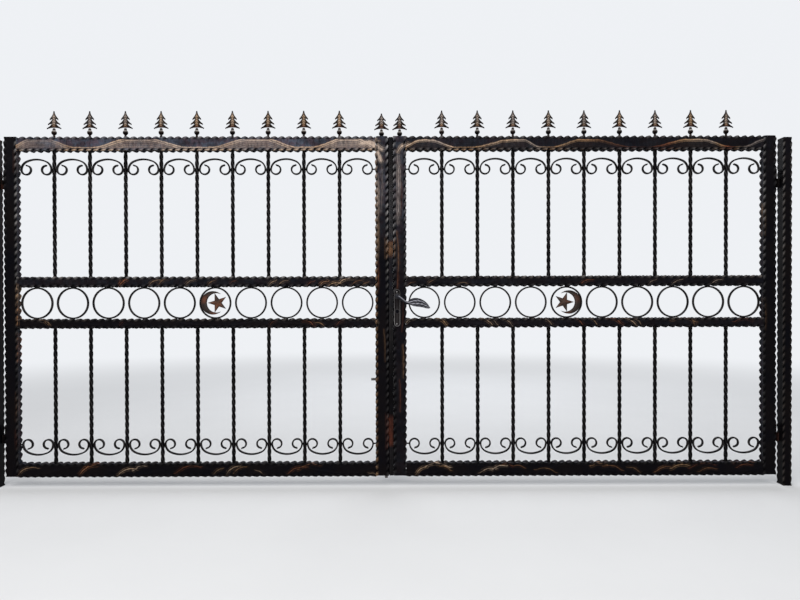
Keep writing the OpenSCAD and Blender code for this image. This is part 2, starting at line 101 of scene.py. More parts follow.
# Brush marks of gold and copper paint on the front: x0, z0, x1, z1, width, strength, hue
# (0 is copper red, 0.5 old gold and 1 pale tan).
STROKES = [
    (1690, 1584, 1786, 1560, 13, 1.9, 0.88), (1752, 1570, 1784, 1508, 11, 2.0, 0.9),
    (1751, 1587, 1779, 1596, 6, 0.7, 0.8), (1866, 1550, 1908, 1582, 10, 1.2, 0.8),
    (392, 61, 466, 102, 8, 0.9, 0.35), (419, 93, 470, 107, 6, 0.9, 0.3),
    (567, 56, 650, 84, 7, 0.8, 0.7), (641, 79, 697, 98, 6, 0.7, 0.8),
    (835, 65, 946, 93, 7, 0.5, 0.2), (1011, 61, 1048, 84, 6, 0.4, 0.6),
    (1067, 56, 1131, 98, 6, 0.6, 0.7), (1094, 52, 1159, 93, 5, 0.4, 0.5),
    (1205, 75, 1233, 61, 5, 0.3, 0.7), (1353, 61, 1437, 89, 7, 0.5, 0.3),
    (1400, 79, 1501, 98, 6, 0.6, 0.35), (1732, 61, 1760, 52, 6, 0.4, 0.7),
    (105, 56, 179, 93, 6, 0.5, 0.6), (123, 75, 197, 89, 5, 0.4, 0.6),
    (1945, 56, 1991, 89, 7, 0.85, 0.65), (1982, 89, 2098, 89, 7, 0.85, 0.75),
    (2056, 93, 2102, 75, 6, 0.5, 0.5), (2241, 61, 2315, 79, 6, 0.6, 0.75),
    (2297, 75, 2361, 93, 6, 0.8, 0.8), (2334, 98, 2389, 93, 7, 0.6, 0.25),
    (2398, 93, 2445, 84, 6, 0.4, 0.4), (2500, 75, 2593, 61, 5, 0.3, 0.5),
    (2759, 93, 2824, 98, 8, 0.6, 0.5), (2814, 89, 2898, 70, 6, 0.4, 0.4),
    (2925, 84, 2981, 61, 6, 0.3, 0.5), (3055, 65, 3129, 84, 7, 0.6, 0.4),
    (3129, 79, 3203, 93, 8, 0.8, 0.55), (3212, 79, 3332, 93, 6, 0.45, 0.2),
    (3258, 65, 3332, 75, 6, 0.35, 0.4), (3420, 104, 3499, 106, 6, 0.8, 0.3),
    (3434, 84, 3499, 93, 6, 0.5, 0.25),
    (576, 926, 609, 958, 9, 0.9, 0.3), (586, 953, 613, 962, 6, 0.6, 0.3),
    (715, 935, 761, 958, 6, 0.5, 0.6), (761, 939, 798, 961, 6, 0.4, 0.5),
    (877, 926, 928, 958, 6, 0.5, 0.7), (983, 930, 1016, 953, 6, 0.35, 0.5),
    (1085, 935, 1113, 953, 6, 0.3, 0.3), (1265, 926, 1298, 953, 7, 0.5, 0.65),
    (1307, 926, 1353, 953, 6, 0.5, 0.65), (1441, 926, 1474, 949, 6, 0.5, 0.2),
    (1497, 926, 1538, 949, 8, 0.85, 0.45), (1538, 926, 1594, 941, 7, 0.9, 0.6),
    (1585, 935, 1649, 961, 7, 0.95, 0.7), (1649, 930, 1695, 953, 6, 0.45, 0.4),
    (1695, 926, 1723, 944, 6, 0.4, 0.5),
    (1904, 926, 1936, 944, 6, 0.25, 0.4), (2001, 935, 2028, 953, 6, 0.3, 0.6),
    (2704, 930, 2759, 953, 7, 0.45, 0.3), (2126, 930, 2195, 935, 5, 0.25, 0.6),
    (3129, 928, 3175, 953, 5, 0.35, 0.8), (3309, 928, 3360, 953, 5, 0.45, 0.9),
    (3018, 926, 3055, 953, 5, 0.25, 0.8),
    (197, 778, 244, 755, 6, 0.6, 0.5), (160, 776, 216, 770, 6, 0.5, 0.8),
    (225, 776, 262, 745, 5, 0.4, 0.6), (576, 744, 613, 773, 6, 0.25, 0.1),
    (1270, 744, 1298, 768, 6, 0.3, 0.2), (1427, 768, 1474, 745, 8, 0.6, 0.25),
    (1483, 759, 1520, 744, 6, 0.4, 0.5), (1575, 745, 1649, 776, 7, 0.4, 0.15),
    (1732, 787, 1765, 759, 6, 0.7, 0.75),
    (1902, 760, 1931, 775, 7, 0.85, 0.8), (1927, 775, 2019, 776, 6, 0.6, 0.9),
    (2047, 776, 2084, 750, 9, 0.85, 0.55), (2028, 776, 2065, 770, 6, 0.5, 0.7),
    (2241, 776, 2297, 747, 7, 0.75, 0.7), (2269, 776, 2320, 750, 5, 0.5, 0.8),
    (2347, 774, 2389, 744, 6, 0.6, 0.75), (2523, 776, 2574, 747, 6, 0.5, 0.7),
    (2676, 776, 2713, 750, 6, 0.5, 0.3), (2741, 776, 2782, 747, 5, 0.5, 0.6),
    (2833, 776, 2898, 747, 9, 0.6, 0.3), (2907, 774, 2962, 744, 6, 0.7, 0.7),
    (2949, 774, 2986, 747, 5, 0.4, 0.7), (3129, 766, 3240, 759, 8, 0.6, 0.5),
    (3212, 776, 3231, 747, 6, 0.6, 0.5), (3420, 759, 3499, 766, 8, 0.45, 0.2),
    (1764, 1440, 1767, 1254, 9, 1.2, 0.85), (1766, 1270, 1764, 1037, 7, 0.9, 0.6),
    (1769, 1037, 1767, 898, 6, 0.5, 0.3), (1787, 1520, 1785, 1277, 8, 0.3, 1.0),
    (1767, 1300, 1767, 1203, 5, 0.8, 0.9), (1808, 287, 1810, 186, 6, 0.5, 0.1),
    (1797, 722, 1802, 583, 5, 0.2, 0.5),
    (1862, 1520, 1864, 1342, 13, 0.8, 1.0), (1864, 1342, 1861, 1225, 12, 0.7, 1.0),
    (1858, 1175, 1864, 1000, 6, 0.4, 0.4), (1862, 1000, 1858, 907, 6, 0.35, 0.3),
    (1880, 1425, 1876, 1254, 5, 0.2, 0.2), (1887, 861, 1880, 722, 6, 0.2, 0.2),
    (1885, 648, 1887, 509, 6, 0.4, 0.5), (1869, 491, 1871, 352, 6, 0.3, 0.2),
    (1811, 1140, 1811, 1064, 8, 1.0, 0.45), (1811, 328, 1811, 180, 8, 0.9, 0.08),
    (1846, 1140, 1847, 1064, 4, 0.9, 0.45),
    (106, 930, 107, 850, 7, 1.5, 0.62), (107, 880, 107, 760, 7, 1.4, 0.45),
    (107, 706, 107, 590, 6, 1.1, 0.35), (98, 435, 98, 315, 5, 0.3, 0.4),
    (96, 260, 98, 186, 6, 0.35, 0.15), (98, 1554, 96, 1462, 6, 0.3, 0.3),
    (3559, 861, 3562, 722, 5, 0.25, 0.5), (3556, 1300, 3559, 1161, 5, 0.3, 0.6),
]

# The brushed wave of a top rail: turning points (x, 1 at a crest and -1 at a trough), the
# height of its middle, half its swing, its paint as (x, strength, hue), and how much of it
# fills the bends.
LEFT_WAVE = (
    [(40, -1), (205, 1), (414, -1), (660, 1), (955, -1), (1217, 1), (1434, -1), (1645, 1), (1800, -1)],
    2.0, 20.0,
    [(90, 0.95, 0.42), (150, 0.45, 0.9), (260, 0.35, 1.0), (340, 0.6, 0.62), (430, 0.62, 0.72),
     (520, 0.85, 0.78), (590, 1.0, 0.72), (660, 0.62, 0.9), (800, 0.75, 0.82), (960, 0.95, 0.86),
     (1070, 0.62, 0.66), (1150, 1.0, 0.92), (1240, 0.95, 0.84), (1330, 0.75, 0.76), (1400, 0.95, 0.74),
     (1500, 0.85, 0.66), (1590, 1.0, 0.86), (1680, 1.0, 0.84), (1750, 1.0, 0.6)],
    0.75)
RIGHT_WAVE = (
    [(1860, -1), (1987, 1), (2158, -1), (2426, 1), (2541, -1), (2735, 1), (2980, -1), (3243, 1),
     (3432, -1), (3580, 1)],
    -3.0, 17.0,
    [(1890, 1.0, 0.58), (1950, 1.0, 0.72), (2000, 0.85, 0.84), (2060, 0.6, 0.95), (2120, 1.0, 0.66),
     (2200, 0.8, 0.5), (2290, 0.6, 0.68), (2370, 0.75, 0.66), (2440, 0.6, 0.9), (2500, 0.4, 0.9),
     (2560, 0.6, 0.5), (2650, 0.5, 0.6), (2735, 0.65, 0.5), (2810, 0.2, 0.4), (3020, 0.1, 0.2),
     (3090, 0.45, 0.2), (3160, 0.6, 0.5), (3235, 0.65, 0.7), (3310, 0.45, 0.9), (3400, 0.6, 0.08),
     (3450, 0.15, 0.9), (3510, 0.4, 1.0)],
    0.08)


class Shape:
    """Skins of points in millimetres, with two colours a point: paint and form."""

    def __init__(self):
        self.points = []
        self.faces = []
        self.paint = []
        self.form = []
        self.count = 0

    def grid(self, points, paint=None, form=None, flip=False, fans=True, loop=False):
        """A skin over rings of points[ring, place], closed round each ring, with fans at its ends."""
        rings, places = points.shape[:2]
        index = np.arange(rings * places).reshape(rings, places)
        beside = np.roll(index, -1, axis=1)
        quads = np.stack([index, beside, np.roll(beside, -1, axis=0), np.roll(index, -1, axis=0)], axis=-1)
        quads = quads[:rings if loop else rings - 1].reshape(-1, 4)
        faces = (quads[:, ::-1] if flip else quads).tolist()
        flat = points.reshape(-1, 3)
        blank = np.zeros((rings * places, 4))
        paint = blank if paint is None else np.asarray(paint, float).reshape(-1, 4)
        form = blank if form is None else np.asarray(form, float).reshape(-1, 4)
        ends = () if loop or not fans else ((0, not flip), (rings - 1, flip))
        for ring, turn in ends:
            middle = len(flat)
            flat = np.vstack([flat, points[ring].mean(axis=0)])
            paint = np.vstack([paint, paint[index[ring]].mean(axis=0)])
            form = np.vstack([form, form[index[ring]].mean(axis=0) * 0.3])
            pairs = zip(index[ring].tolist(), beside[ring].tolist())
            faces += [[b, a, middle] if turn else [a, b, middle] for a, b in pairs]
        self.points.append(flat)
        self.paint.append(paint)
        self.form.append(form)
        self.faces += [[place + self.count for place in face] for face in faces]
        self.count += len(flat)


def piece(name, shape, body, material, nodes, smooth=40.0):
    """Makes the object of a shape, in metres, and hands it to the frame."""
    mesh = bpy.data.meshes.new(name)
    mesh.from_pydata((np.vstack(shape.points) * 0.001).tolist(), [], shape.faces)
    for label, rows in (("paint", shape.paint), ("form", shape.form)):
        layer = mesh.attributes.new(label, "FLOAT_COLOR", "POINT")
        layer.data.foreach_set("color", np.clip(np.vstack(rows), 0.0, 1.0).astype(np.float32).ravel())
    mesh.validate()
    mesh.materials.append(material)
    mesh.shade_smooth()
    mesh.set_sharp_from_angle(angle=math.radians(smooth))
    obj = bpy.data.objects.new(name, mesh)
    bpy.context.scene.collection.objects.link(obj)
    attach(obj, body)
    if nodes:
        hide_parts(*nodes)


def hashed(*values):
    """A steady pseudo-random number from 0 to 1 for each set of numbers."""
    total = np.zeros(np.broadcast(*values).shape)
    for k, v in enumerate(values):
        total = total + np.asarray(v, float) * (12.9898 + 65.153 * k)
    raw = np.sin(total) * 43758.5453
    return raw - np.floor(raw)


def stroke_paint(x, z):
    """Strength, hue and place across the brush marks at points of the front face."""
    best = np.zeros_like(x)
    hue = np.full_like(x, 0.5)
    aside = np.zeros_like(x)
    for x0, z0, x1, z1, width, strength, tone in STROKES:
        reach = 4 * width + 12
        if x0 - reach > x.max() or x1 + reach < x.min():
            continue
        if min(z0, z1) - reach > z.max() or max(z0, z1) + reach < z.min():
            continue
        dx, dz = x1 - x0, z1 - z0
        long = math.hypot(dx, dz)
        share = ((x - x0) * dx + (z - z0) * dz) / long ** 2
        t = np.clip(share, 0.0, 1.0)
        bend = (0.15 if abs(dx) > abs(dz) * 0.6 else 0.02) * long * (4 * t * (1 - t))
        off = ((z - z0) * dx - (x - x0) * dz) / long - bend
        past = np.maximum(np.abs(share - t) * long - 4.0, 0.0)
        away = np.hypot(off, past) / (0.85 * width)
        here = strength * np.exp(-away ** 2) * (0.5 + 0.5 * np.sin(math.pi * np.clip(t, 0.06, 0.94)))
        hue = np.where(here > best, tone, hue)
        aside = np.where(here > best, off, aside)
        best = np.maximum(best, here)
    return 0.9 * best, hue, aside


def wave_level(x, turns):
    """Level of a brushed wave at x, from -1 in its troughs to 1 on its crests."""
    places = np.array([t[0] for t in turns], float)
    levels = np.array([t[1] for t in turns], float)
    k = np.clip(np.searchsorted(places, x) - 1, 0, len(places) - 2)
    f = np.clip((x - places[k]) / (places[k + 1] - places[k]), 0.0, 1.0)
    ease = (1 - np.cos(math.pi * f)) / 2 - 0.10 * np.sin(2 * math.pi * f)
    return levels[k] + (levels[k + 1] - levels[k]) * np.clip(ease, 0.0, 1.0)


def tube_section(w, d, proud, notches, lip):
    """Places round a tube, front face first: lump and crimp point, slant, corner, share of corner."""
    hw, hd = w / 2, d / 2
    places = []

    def face(count, start, stop):
        for k in range(1, count + 1):
            f = k / (count + 1)
            p = (start[0] + (stop[0] - start[0]) * f, start[1] + (stop[1] - start[1]) * f)
            places.append((p, p, SLANT * (1 - 2 * f), -1, 0.0))

    def corner(number, way_x, way_y, ahead):
        notch = notches[1 if way_x > 0 else 0]
        for k in range(8):
            j = k if ahead else 7 - k
            out = proud * math.sin(math.pi * k / 7)
            spots = []
            for broad, beside in (LUMP[j], CRIMP[j]):
                beside = beside * notch / NOTCH if j > 4 else beside * (0.5 + 0.5 * notch / NOTCH)
                beside = beside * lip / LIP if j < 5 else beside
                beside = beside if j else lip
                spots.append((broad, beside))
            (a, b), (c, e) = spots
            lump = (way_x * (hw - b + out), way_y * (hd - a + out))
            crimp = (way_x * (hw - e), way_y * (hd - c))
            places.append((lump, crimp, SLANT * (2 * k / 7 - 1), number, k / 7))

    wide = 11 if w > 50 else 6
    deep = 5 if d > 50 else 3
    low, high = hw - notches[0], hw - notches[1]
    face(wide, (-hw + lip, -hd + RECESS), (hw - lip, -hd + RECESS))
    corner(0, 1, -1, True)
    face(deep, (high, -hd + SIDE_LIP), (high, hd - SIDE_LIP))
    corner(1, 1, 1, False)
    face(wide, (hw - lip, hd - RECESS), (-hw + lip, hd - RECESS))
    corner(2, -1, 1, True)
    face(deep, (-low, hd - SIDE_LIP), (-low, -hd + SIDE_LIP))
    corner(3, -1, -1, False)
    return places


def tube(shape, upright, length, w, d, place, phase, edges, gilt, sky_sheen, wave, extend=0.0, period=PERIOD,
         proud=1.2, sides=(0.3, 0.3), fade=None, notches=(NOTCH, NOTCH), underside=3.0, lip=LIP):
    """An embossed tube. Upright stands on place (x, z), otherwise it lies from place along +X.

    edges is the painted highlight, over rubbed paint, on the lumps of the front right or top,
    back right or top, back left or foot and front left or foot edge, and gilt their gold and its
    hue. lift gives the painted blue-grey sky sheen at x, z, and sides its share on the left and
    right or lower and upper side. Notches is how deep the crimps cut into those sides, and
    underside the height of the painted shade on the foot of a lying tube.
    wave is (height, phase, brushed wave or None) of the relief on the broad faces, and fade
    the strength of the painted highlight on the lumps at z.
    """
    places = tube_section(w, d, proud, notches, lip)
    lump = np.array([p[0] for p in places])
    crimp = np.array([p[1] for p in places])
    slant = np.array([p[2] for p in places])
    corner = np.array([p[3] for p in places])
    share = np.array([p[4] for p in places])
    first = int(math.floor((-extend - phase) / period)) - 1
    last = int(math.ceil((length + extend - phase) / period)) + 1
    marks = [(phase + (n + s) * period, s, n) for n in range(first, last + 1) for s in STEPS]
    marks = [m for m in marks if -extend + 1.2 < m[0] < length + extend - 1.2]
    marks = [(-extend, marks[0][1], marks[0][2])] + marks + [(length + extend, marks[-1][1], marks[-1][2])]
    u = np.array([m[0] for m in marks])[:, None]
    s = np.array([m[1] for m in marks])[:, None]
    n = np.array([m[2] for m in marks])[:, None]
    jitter = 0.85 + 0.3 * hashed(n, corner[None, :])
    crimped = np.where(s < 0, np.exp(-(s / 0.17) ** 2), np.exp(-(s / 0.28) ** 2))
    crimped = np.where(corner[None, :] >= 0, np.clip(crimped * jitter * 1.1, 0.0, 1.0), 0.0)
    ends = np.clip(np.minimum(u + extend, length + extend - u) / period, 0.0, 1.0)
    along = u + slant[None, :] * period * ends
    v = lump[None, :, 0] + (crimp - lump)[None, :, 0] * crimped
    y = lump[None, :, 1] + (crimp - lump)[None, :, 1] * crimped
    # Relief of the two broad faces: a wave with fainter ones inside its bends.
    height, shift, brushed = wave
    inner = w / 2 - lip
    if brushed:
        level = wave_level(place[0] + along, brushed[0])
        line = brushed[1] + brushed[2] * level
    else:
        beat = 2 * math.pi * (along - shift) / WAVE_STEP
        level = np.cos(beat)
        line = inner * (level + 0.12 * np.cos(2 * beat + 0.6)) + 1.5 * np.sin(2.3 * beat + phase) - 1.0
    below = line - v
    ridge = np.exp(-(below / 4.5) ** 2)
    nested = np.exp(-below / 16.0) * (0.5 + 0.5 * np.cos(2 * math.pi * below / 11.0)) * (below > 0)
    ripple = 0.3 * np.cos(2 * math.pi * (along / 21.0 + v / 26.0 + 0.4 * np.sin(along / 60.0)))
    margin = np.clip((inner - np.abs(v)) / 3.0, 0.0, 1.0)
    rise = np.clip(height * (ridge + 0.6 * nested) + 0.7 * ripple, -0.6, 2.4) * margin
    broad = ((corner < 0) & (np.abs(lump[:, 1]) > d / 2 - RECESS - 0.1))[None, :]
    rise = np.where(broad, rise, 0.0)
    y = y + np.where(y < 0, -rise, rise)
    px = place[0] + v if upright else place[0] + along
    pz = place[1] + along if upright else place[1] + v
    points = np.stack([px, y, pz], axis=-1)
    # Paint: brush marks, the brushed wave, and the lumps of each edge; also the painted sky sheen, painted
    # highlights on the lumps and painted shade in the crimps and on the foot.
    gild, hue, aside = stroke_paint(px, pz)
    painted = np.zeros_like(px)
    if brushed:
        spots = [p[0] for p in brushed[3]]
        painted = np.interp(px, spots, [p[1] for p in brushed[3]])
        tone = np.interp(px, spots, [p[2] for p in brushed[3]])
        hue = np.where(gild < 0.12, tone, hue)
    track = below if brushed else aside
    gild = gild * np.where(corner[None, :] < 0, 1.0, 0.6) * (1.0 if upright or brushed else 1.1)
    crown = np.sin(math.pi * np.clip(share, 0.06, 0.94))[None, :]
    leaf, leaf_hue = gilt
    edge_leaf = np.array([leaf[c] if c >= 0 else 0.0 for c in corner])[None, :] * crown * (1 - crimped)
    if brushed:
        edge_leaf = edge_leaf * painted * (0.95 - 0.55 * level)
    else:
        hue = np.where(edge_leaf > gild, leaf_hue, hue)
    gild = np.maximum(gild, edge_leaf)
    # Lumps get a painted highlight over rubbed paint, lighter on each lump's upper end, where light falls
    # from above.
    bright = np.array([edges[c] if c >= 0 else 0.0 for c in corner])[None, :]
    top = np.clip(1.25 - np.abs((s + 0.33) / 0.34), 0.0, 1.0)
    patch = 0.6 + 0.4 * np.sin(along / 77.0 + 2.0 * phase) * np.sin(along / 31.0 + corner[None, :])
    crest = bright * crown * (1 - crimped) * (0.25 + 0.75 * top) * np.clip(patch * jitter, 0.2, 1.2)
    if fade:
        crest = crest * fade(pz)
    # Painted shade on the foot of a lying tube, and the painted sky sheen: full on the broad faces, a share
    # on the sides, none on the foot.
    foot_shade = np.clip((-w / 2 + underside - v) / 2.0, 0.0, 1.0) if not upright else 0.0
    side_share = np.where(v < 0, sides[0], sides[1])
    reflected_sky = np.where(np.abs(y) > d / 2 - RECESS - 3.0, sky_sheen(px, pz), side_share) * (1 - foot_shade)
    paint = np.stack([gild, hue, reflected_sky, np.where(broad, painted, 0.0)], axis=-1)
    fill = brushed[4] if brushed else 1.0 if upright else 0.0
    # Form: painted highlight, painted shade in the crimps and on the foot, place across the brush marks, and
    # fill.
    form = np.stack([crest * (1 - foot_shade), np.maximum(crimped, 0.9 * foot_shade), 0.5 - track / TRACK_SPAN,
                     fill + 0 * v], axis=-1)
    shape.grid(points, paint, form, flip=not upright)


def swept(shape, path, across, section, levels, loop=False, size=None, flip=False):
    """A bar swept along path[n, 3]: across[n, 3] is its section's first axis and +Y the second."""
    section = np.asarray(section, float)
    size = np.ones(len(path)) if size is None else size
    points = path[:, None, :] + across[:, None, :] * section[None, :, 0, None] * size[:, None, None]
    points[..., 1] += section[None, :, 1]
    form = np.zeros(points.shape[:2] + (4,))
    # Painted highlight over rubbed paint on the section's places, patchy along the bar.
    form[..., 0] = levels * (0.6 + 0.4 * np.sin(points[..., 0] / 19.0 + points[..., 2] / 27.0))
    shape.grid(points, None, form, flip=flip, loop=loop)


def bevelled(a, b, edge):
    """Corner cut rectangle, a by b, with the painted highlight over rubbed paint of each place."""
    x, y = a / 2, b / 2
    out = [(x, -y + edge), (x, y - edge), (x - edge, y), (-x + edge, y),
           (-x, y - edge), (-x, -y + edge), (-x + edge, -y), (x - edge, -y)]
    return out, np.array([0.75, 0.55, 0.55, 0.75, 0.5, 0.5, 0.9, 0.9])


def lathe(shape, centre, profile, axis=2, places=16, crest=0.3, shine=0.0):
    """A turned body of profile's (distance along the axis, radius), with crest as its painted highlight.
    Shine paints a highlight on its upper half and shade on its lower half.
    """
    angle = np.linspace(0, 2 * math.pi, places, endpoint=False)
    first, second = [(1, 2), (2, 0), (0, 1)][axis]
    points = np.zeros((len(profile), places, 3))
    form = np.zeros((len(profile), places, 4))
    for k, (t, r) in enumerate(profile):
        points[k, :, axis] = t
        points[k, :, first] = r * np.cos(angle)
        points[k, :, second] = r * np.sin(angle)
    points += np.asarray(centre, float)
    form[..., 0] = crest
    if shine:
        middle = (profile[0][0] + profile[-1][0]) / 2
        half = abs(profile[-1][0] - profile[0][0]) / 2
        level = np.array([(t - middle) / half for t, r in profile])
        form[..., 0] = shine * np.clip((level - 0.1) / 0.5, 0.0, 1.0)[:, None]
        form[..., 1] = np.clip((-0.05 - level) / 0.5, 0.0, 0.8)[:, None]
    shape.grid(points, None, form, flip=profile[0][0] > profile[-1][0])


def ball(r, count=8):
    """Profile of a ball for lathe, with small flats at its ends."""
    turns = [math.pi * k / count for k in range(count + 1)]
    tight = 0.12 * math.pi / count
    return [(-r * math.cos(a), r * math.sin(max(min(a, math.pi - tight), tight))) for a in turns]


def across(side, u):
    """Place along X at u from the outer edge of a side's leaf."""
    return LEFT_EDGE + u if side == 0 else GATE_W - LEFT_EDGE - u


def bar_x(side, i):
    """Middle of bar i, counted from the hinge stile."""
    return across(side, STILE_W + i * PITCH)


def bay_x(side, i):
    """Middle of bay i, between bars i - 1 and i."""
    return across(side, STILE_W + (i - 0.5) * PITCH)


class Graph:
    """The nodes of a material or of the world. Inputs are values or the sockets to link."""

    def __init__(self, tree):
        self.tree = tree

    def feed(self, socket, value):
        """Links a socket to another one, or sets its value."""
        if isinstance(value, bpy.types.NodeSocket):
            self.tree.links.new(value, socket)
        else:
            socket.default_value = value

    def node(self, kind, inputs=None, **settings):
        made = self.tree.nodes.new(kind)
        for key, value in settings.items():
            setattr(made, key, value)
        for key, value in (inputs or {}).items():
            self.feed(made.inputs[key], value)
        return made

    def maths(self, operation, a, b=0.0, clamp=False):
        return self.node("ShaderNodeMath", {0: a, 1: b}, operation=operation, use_clamp=clamp).outputs[0]

    def times(self, a, b, clamp=False):
        return self.maths("MULTIPLY", a, b, clamp)

    def line(self, value, factor, offset, clamp=False):
        """Value times factor plus offset."""
        return self.maths("ADD", self.times(value, factor), offset, clamp)

    def mixed(self, factor, a, b):
        a, b = (c if isinstance(c, bpy.types.NodeSocket) else (*c, 1.0) for c in (a, b))
        return self.node("ShaderNodeMix", {0: factor, 6: a, 7: b}, data_type="RGBA").outputs[2]

    def ramp(self, factor, stops):
        made = self.node("ShaderNodeValToRGB", {0: factor})
        marks = made.color_ramp.elements
        while len(marks) < len(stops):
            marks.new(0.5)
        for mark, (place, colour) in zip(marks, stops):
            mark.position = place
            mark.color = (*colour, 1.0)
        return made.outputs[0]

    def step(self, factor, low, high, first=0.0, last=1.0):
        """A grey that goes from first at low to last at high."""
        return self.ramp(factor, [(low, (first,) * 3), (high, (last,) * 3)])

    def ranged(self, value, low, high, first=0.0, last=1.0, way="SMOOTHSTEP"):
        """A step from first at low to last at high, smooth or linear."""
        inputs = {"Value": value, "From Min": low, "From Max": high, "To Min": first, "To Max": last}
        return self.node("ShaderNodeMapRange", inputs, interpolation_type=way).outputs[0]

    def grain(self, vector, scale, detail=3.0, rough=0.6, stretch=None):
        """Noise, finer along the axes that stretch squeezes."""
        if stretch:
            vector = self.node("ShaderNodeMapping", {"Vector": vector, "Scale": stretch}).outputs[0]
        inputs = {"Vector": vector, "Scale": scale, "Detail": detail, "Roughness": rough}
        return self.node("ShaderNodeTexNoise", inputs).outputs["Fac"]

    def colours(self, name):
        """A mesh colour's outputs and its three channels."""
        made = self.node("ShaderNodeAttribute", attribute_name=name).outputs
        return made, self.node("ShaderNodeSeparateColor", {"Color": made["Color"]}).outputs

    def seen(self):
        """1 for what the camera, mirrors and glass see."""
        path = self.node("ShaderNodeLightPath").outputs
        other = self.maths("MAXIMUM", path["Is Glossy Ray"], path["Is Transmission Ray"])
        return self.maths("MAXIMUM", path["Is Camera Ray"], other)


def start_material(name):
    """A new material, its graph, its shader's sockets and the object's own coordinates."""
    material = bpy.data.materials.new(name)
    material.use_nodes = True
    g = Graph(material.node_tree)
    place = g.node("ShaderNodeTexCoord").outputs["Object"]
    return material, g, g.tree.nodes["Principled BSDF"].inputs, place


def surface(g, shader, colour, rough, height, strength, distance):
    """Links colour, roughness and bump to the shader."""
    g.feed(shader["Base Color"], colour)
    g.feed(shader["Roughness"], rough)
    bump = g.node("ShaderNodeBump", {"Height": height, "Strength": strength, "Distance": distance})
    g.feed(shader["Normal"], bump.outputs[0])


# Leaf from copper red over old gold to pale tan and grey, by hue.
LEAF = [(0.0, (0.150, 0.040, 0.028)), (0.3, (0.300, 0.110, 0.050)), (0.55, (0.460, 0.275, 0.140)),
        (0.8, (0.560, 0.415, 0.305)), (1.0, (0.420, 0.350, 0.315))]
# Blue-grey and purple of the painted sky sheen, a reflection of the sky painted on the black paint.
BLUE_SKY_SHEEN = (0.078, 0.090, 0.122)
PURPLE_SKY_SHEEN = (0.086, 0.066, 0.086)
WARM_GREY = (0.200, 0.150, 0.130)
BROWN_WASH = (0.130, 0.045, 0.028)
# Painted shade in the crimps, on the feet of the rails and in hollows and grooves, and the dark edges of the
# finials.
SHADE_AND_DARK_EDGE = (0.0012, 0.0011, 0.0015)
# Distance between the strands that a brush leaves, in millimetres
STRAND = 8.6


def wave_paint(g, place, colour, leaf, level, sky_sheen, fill, hairs, wander, hairline):
    """The brushed wave of a top rail: warm grey below it, as strong as the painted sky sheen there, and gold
    in strands along it.
    """
    warmed = g.times(g.times(g.ranged(wander, 0.0, 6.0), fill), sky_sheen)
    warmed = g.times(warmed, g.line(hairs, 0.55, 0.2), True)
    warmed = g.times(warmed, g.times(level, 1.6, True))
    patchy = g.step(g.grain(place, 11.0, stretch=(0.5, 1.0, 1.4)), 0.40, 0.60, 0.3, 1.25)
    colour = g.mixed(g.times(warmed, patchy), colour, WARM_GREY)
    # The strands thin out below the wave.
    fading = g.ranged(wander, 3.0, g.line(fill, 10.0, 10.0), 1.0, g.times(fill, 0.35))
    broken = g.line(g.line(hairline, 0.62, 0.42, True), 0.75, 0.25)
    strands = g.times(g.times(g.ranged(wander, -6.0, -2.5), fading), broken)
    strands = g.times(strands, g.line(hairs, 0.9, 0.45))
    return g.mixed(g.times(level, strands, True), colour, leaf)


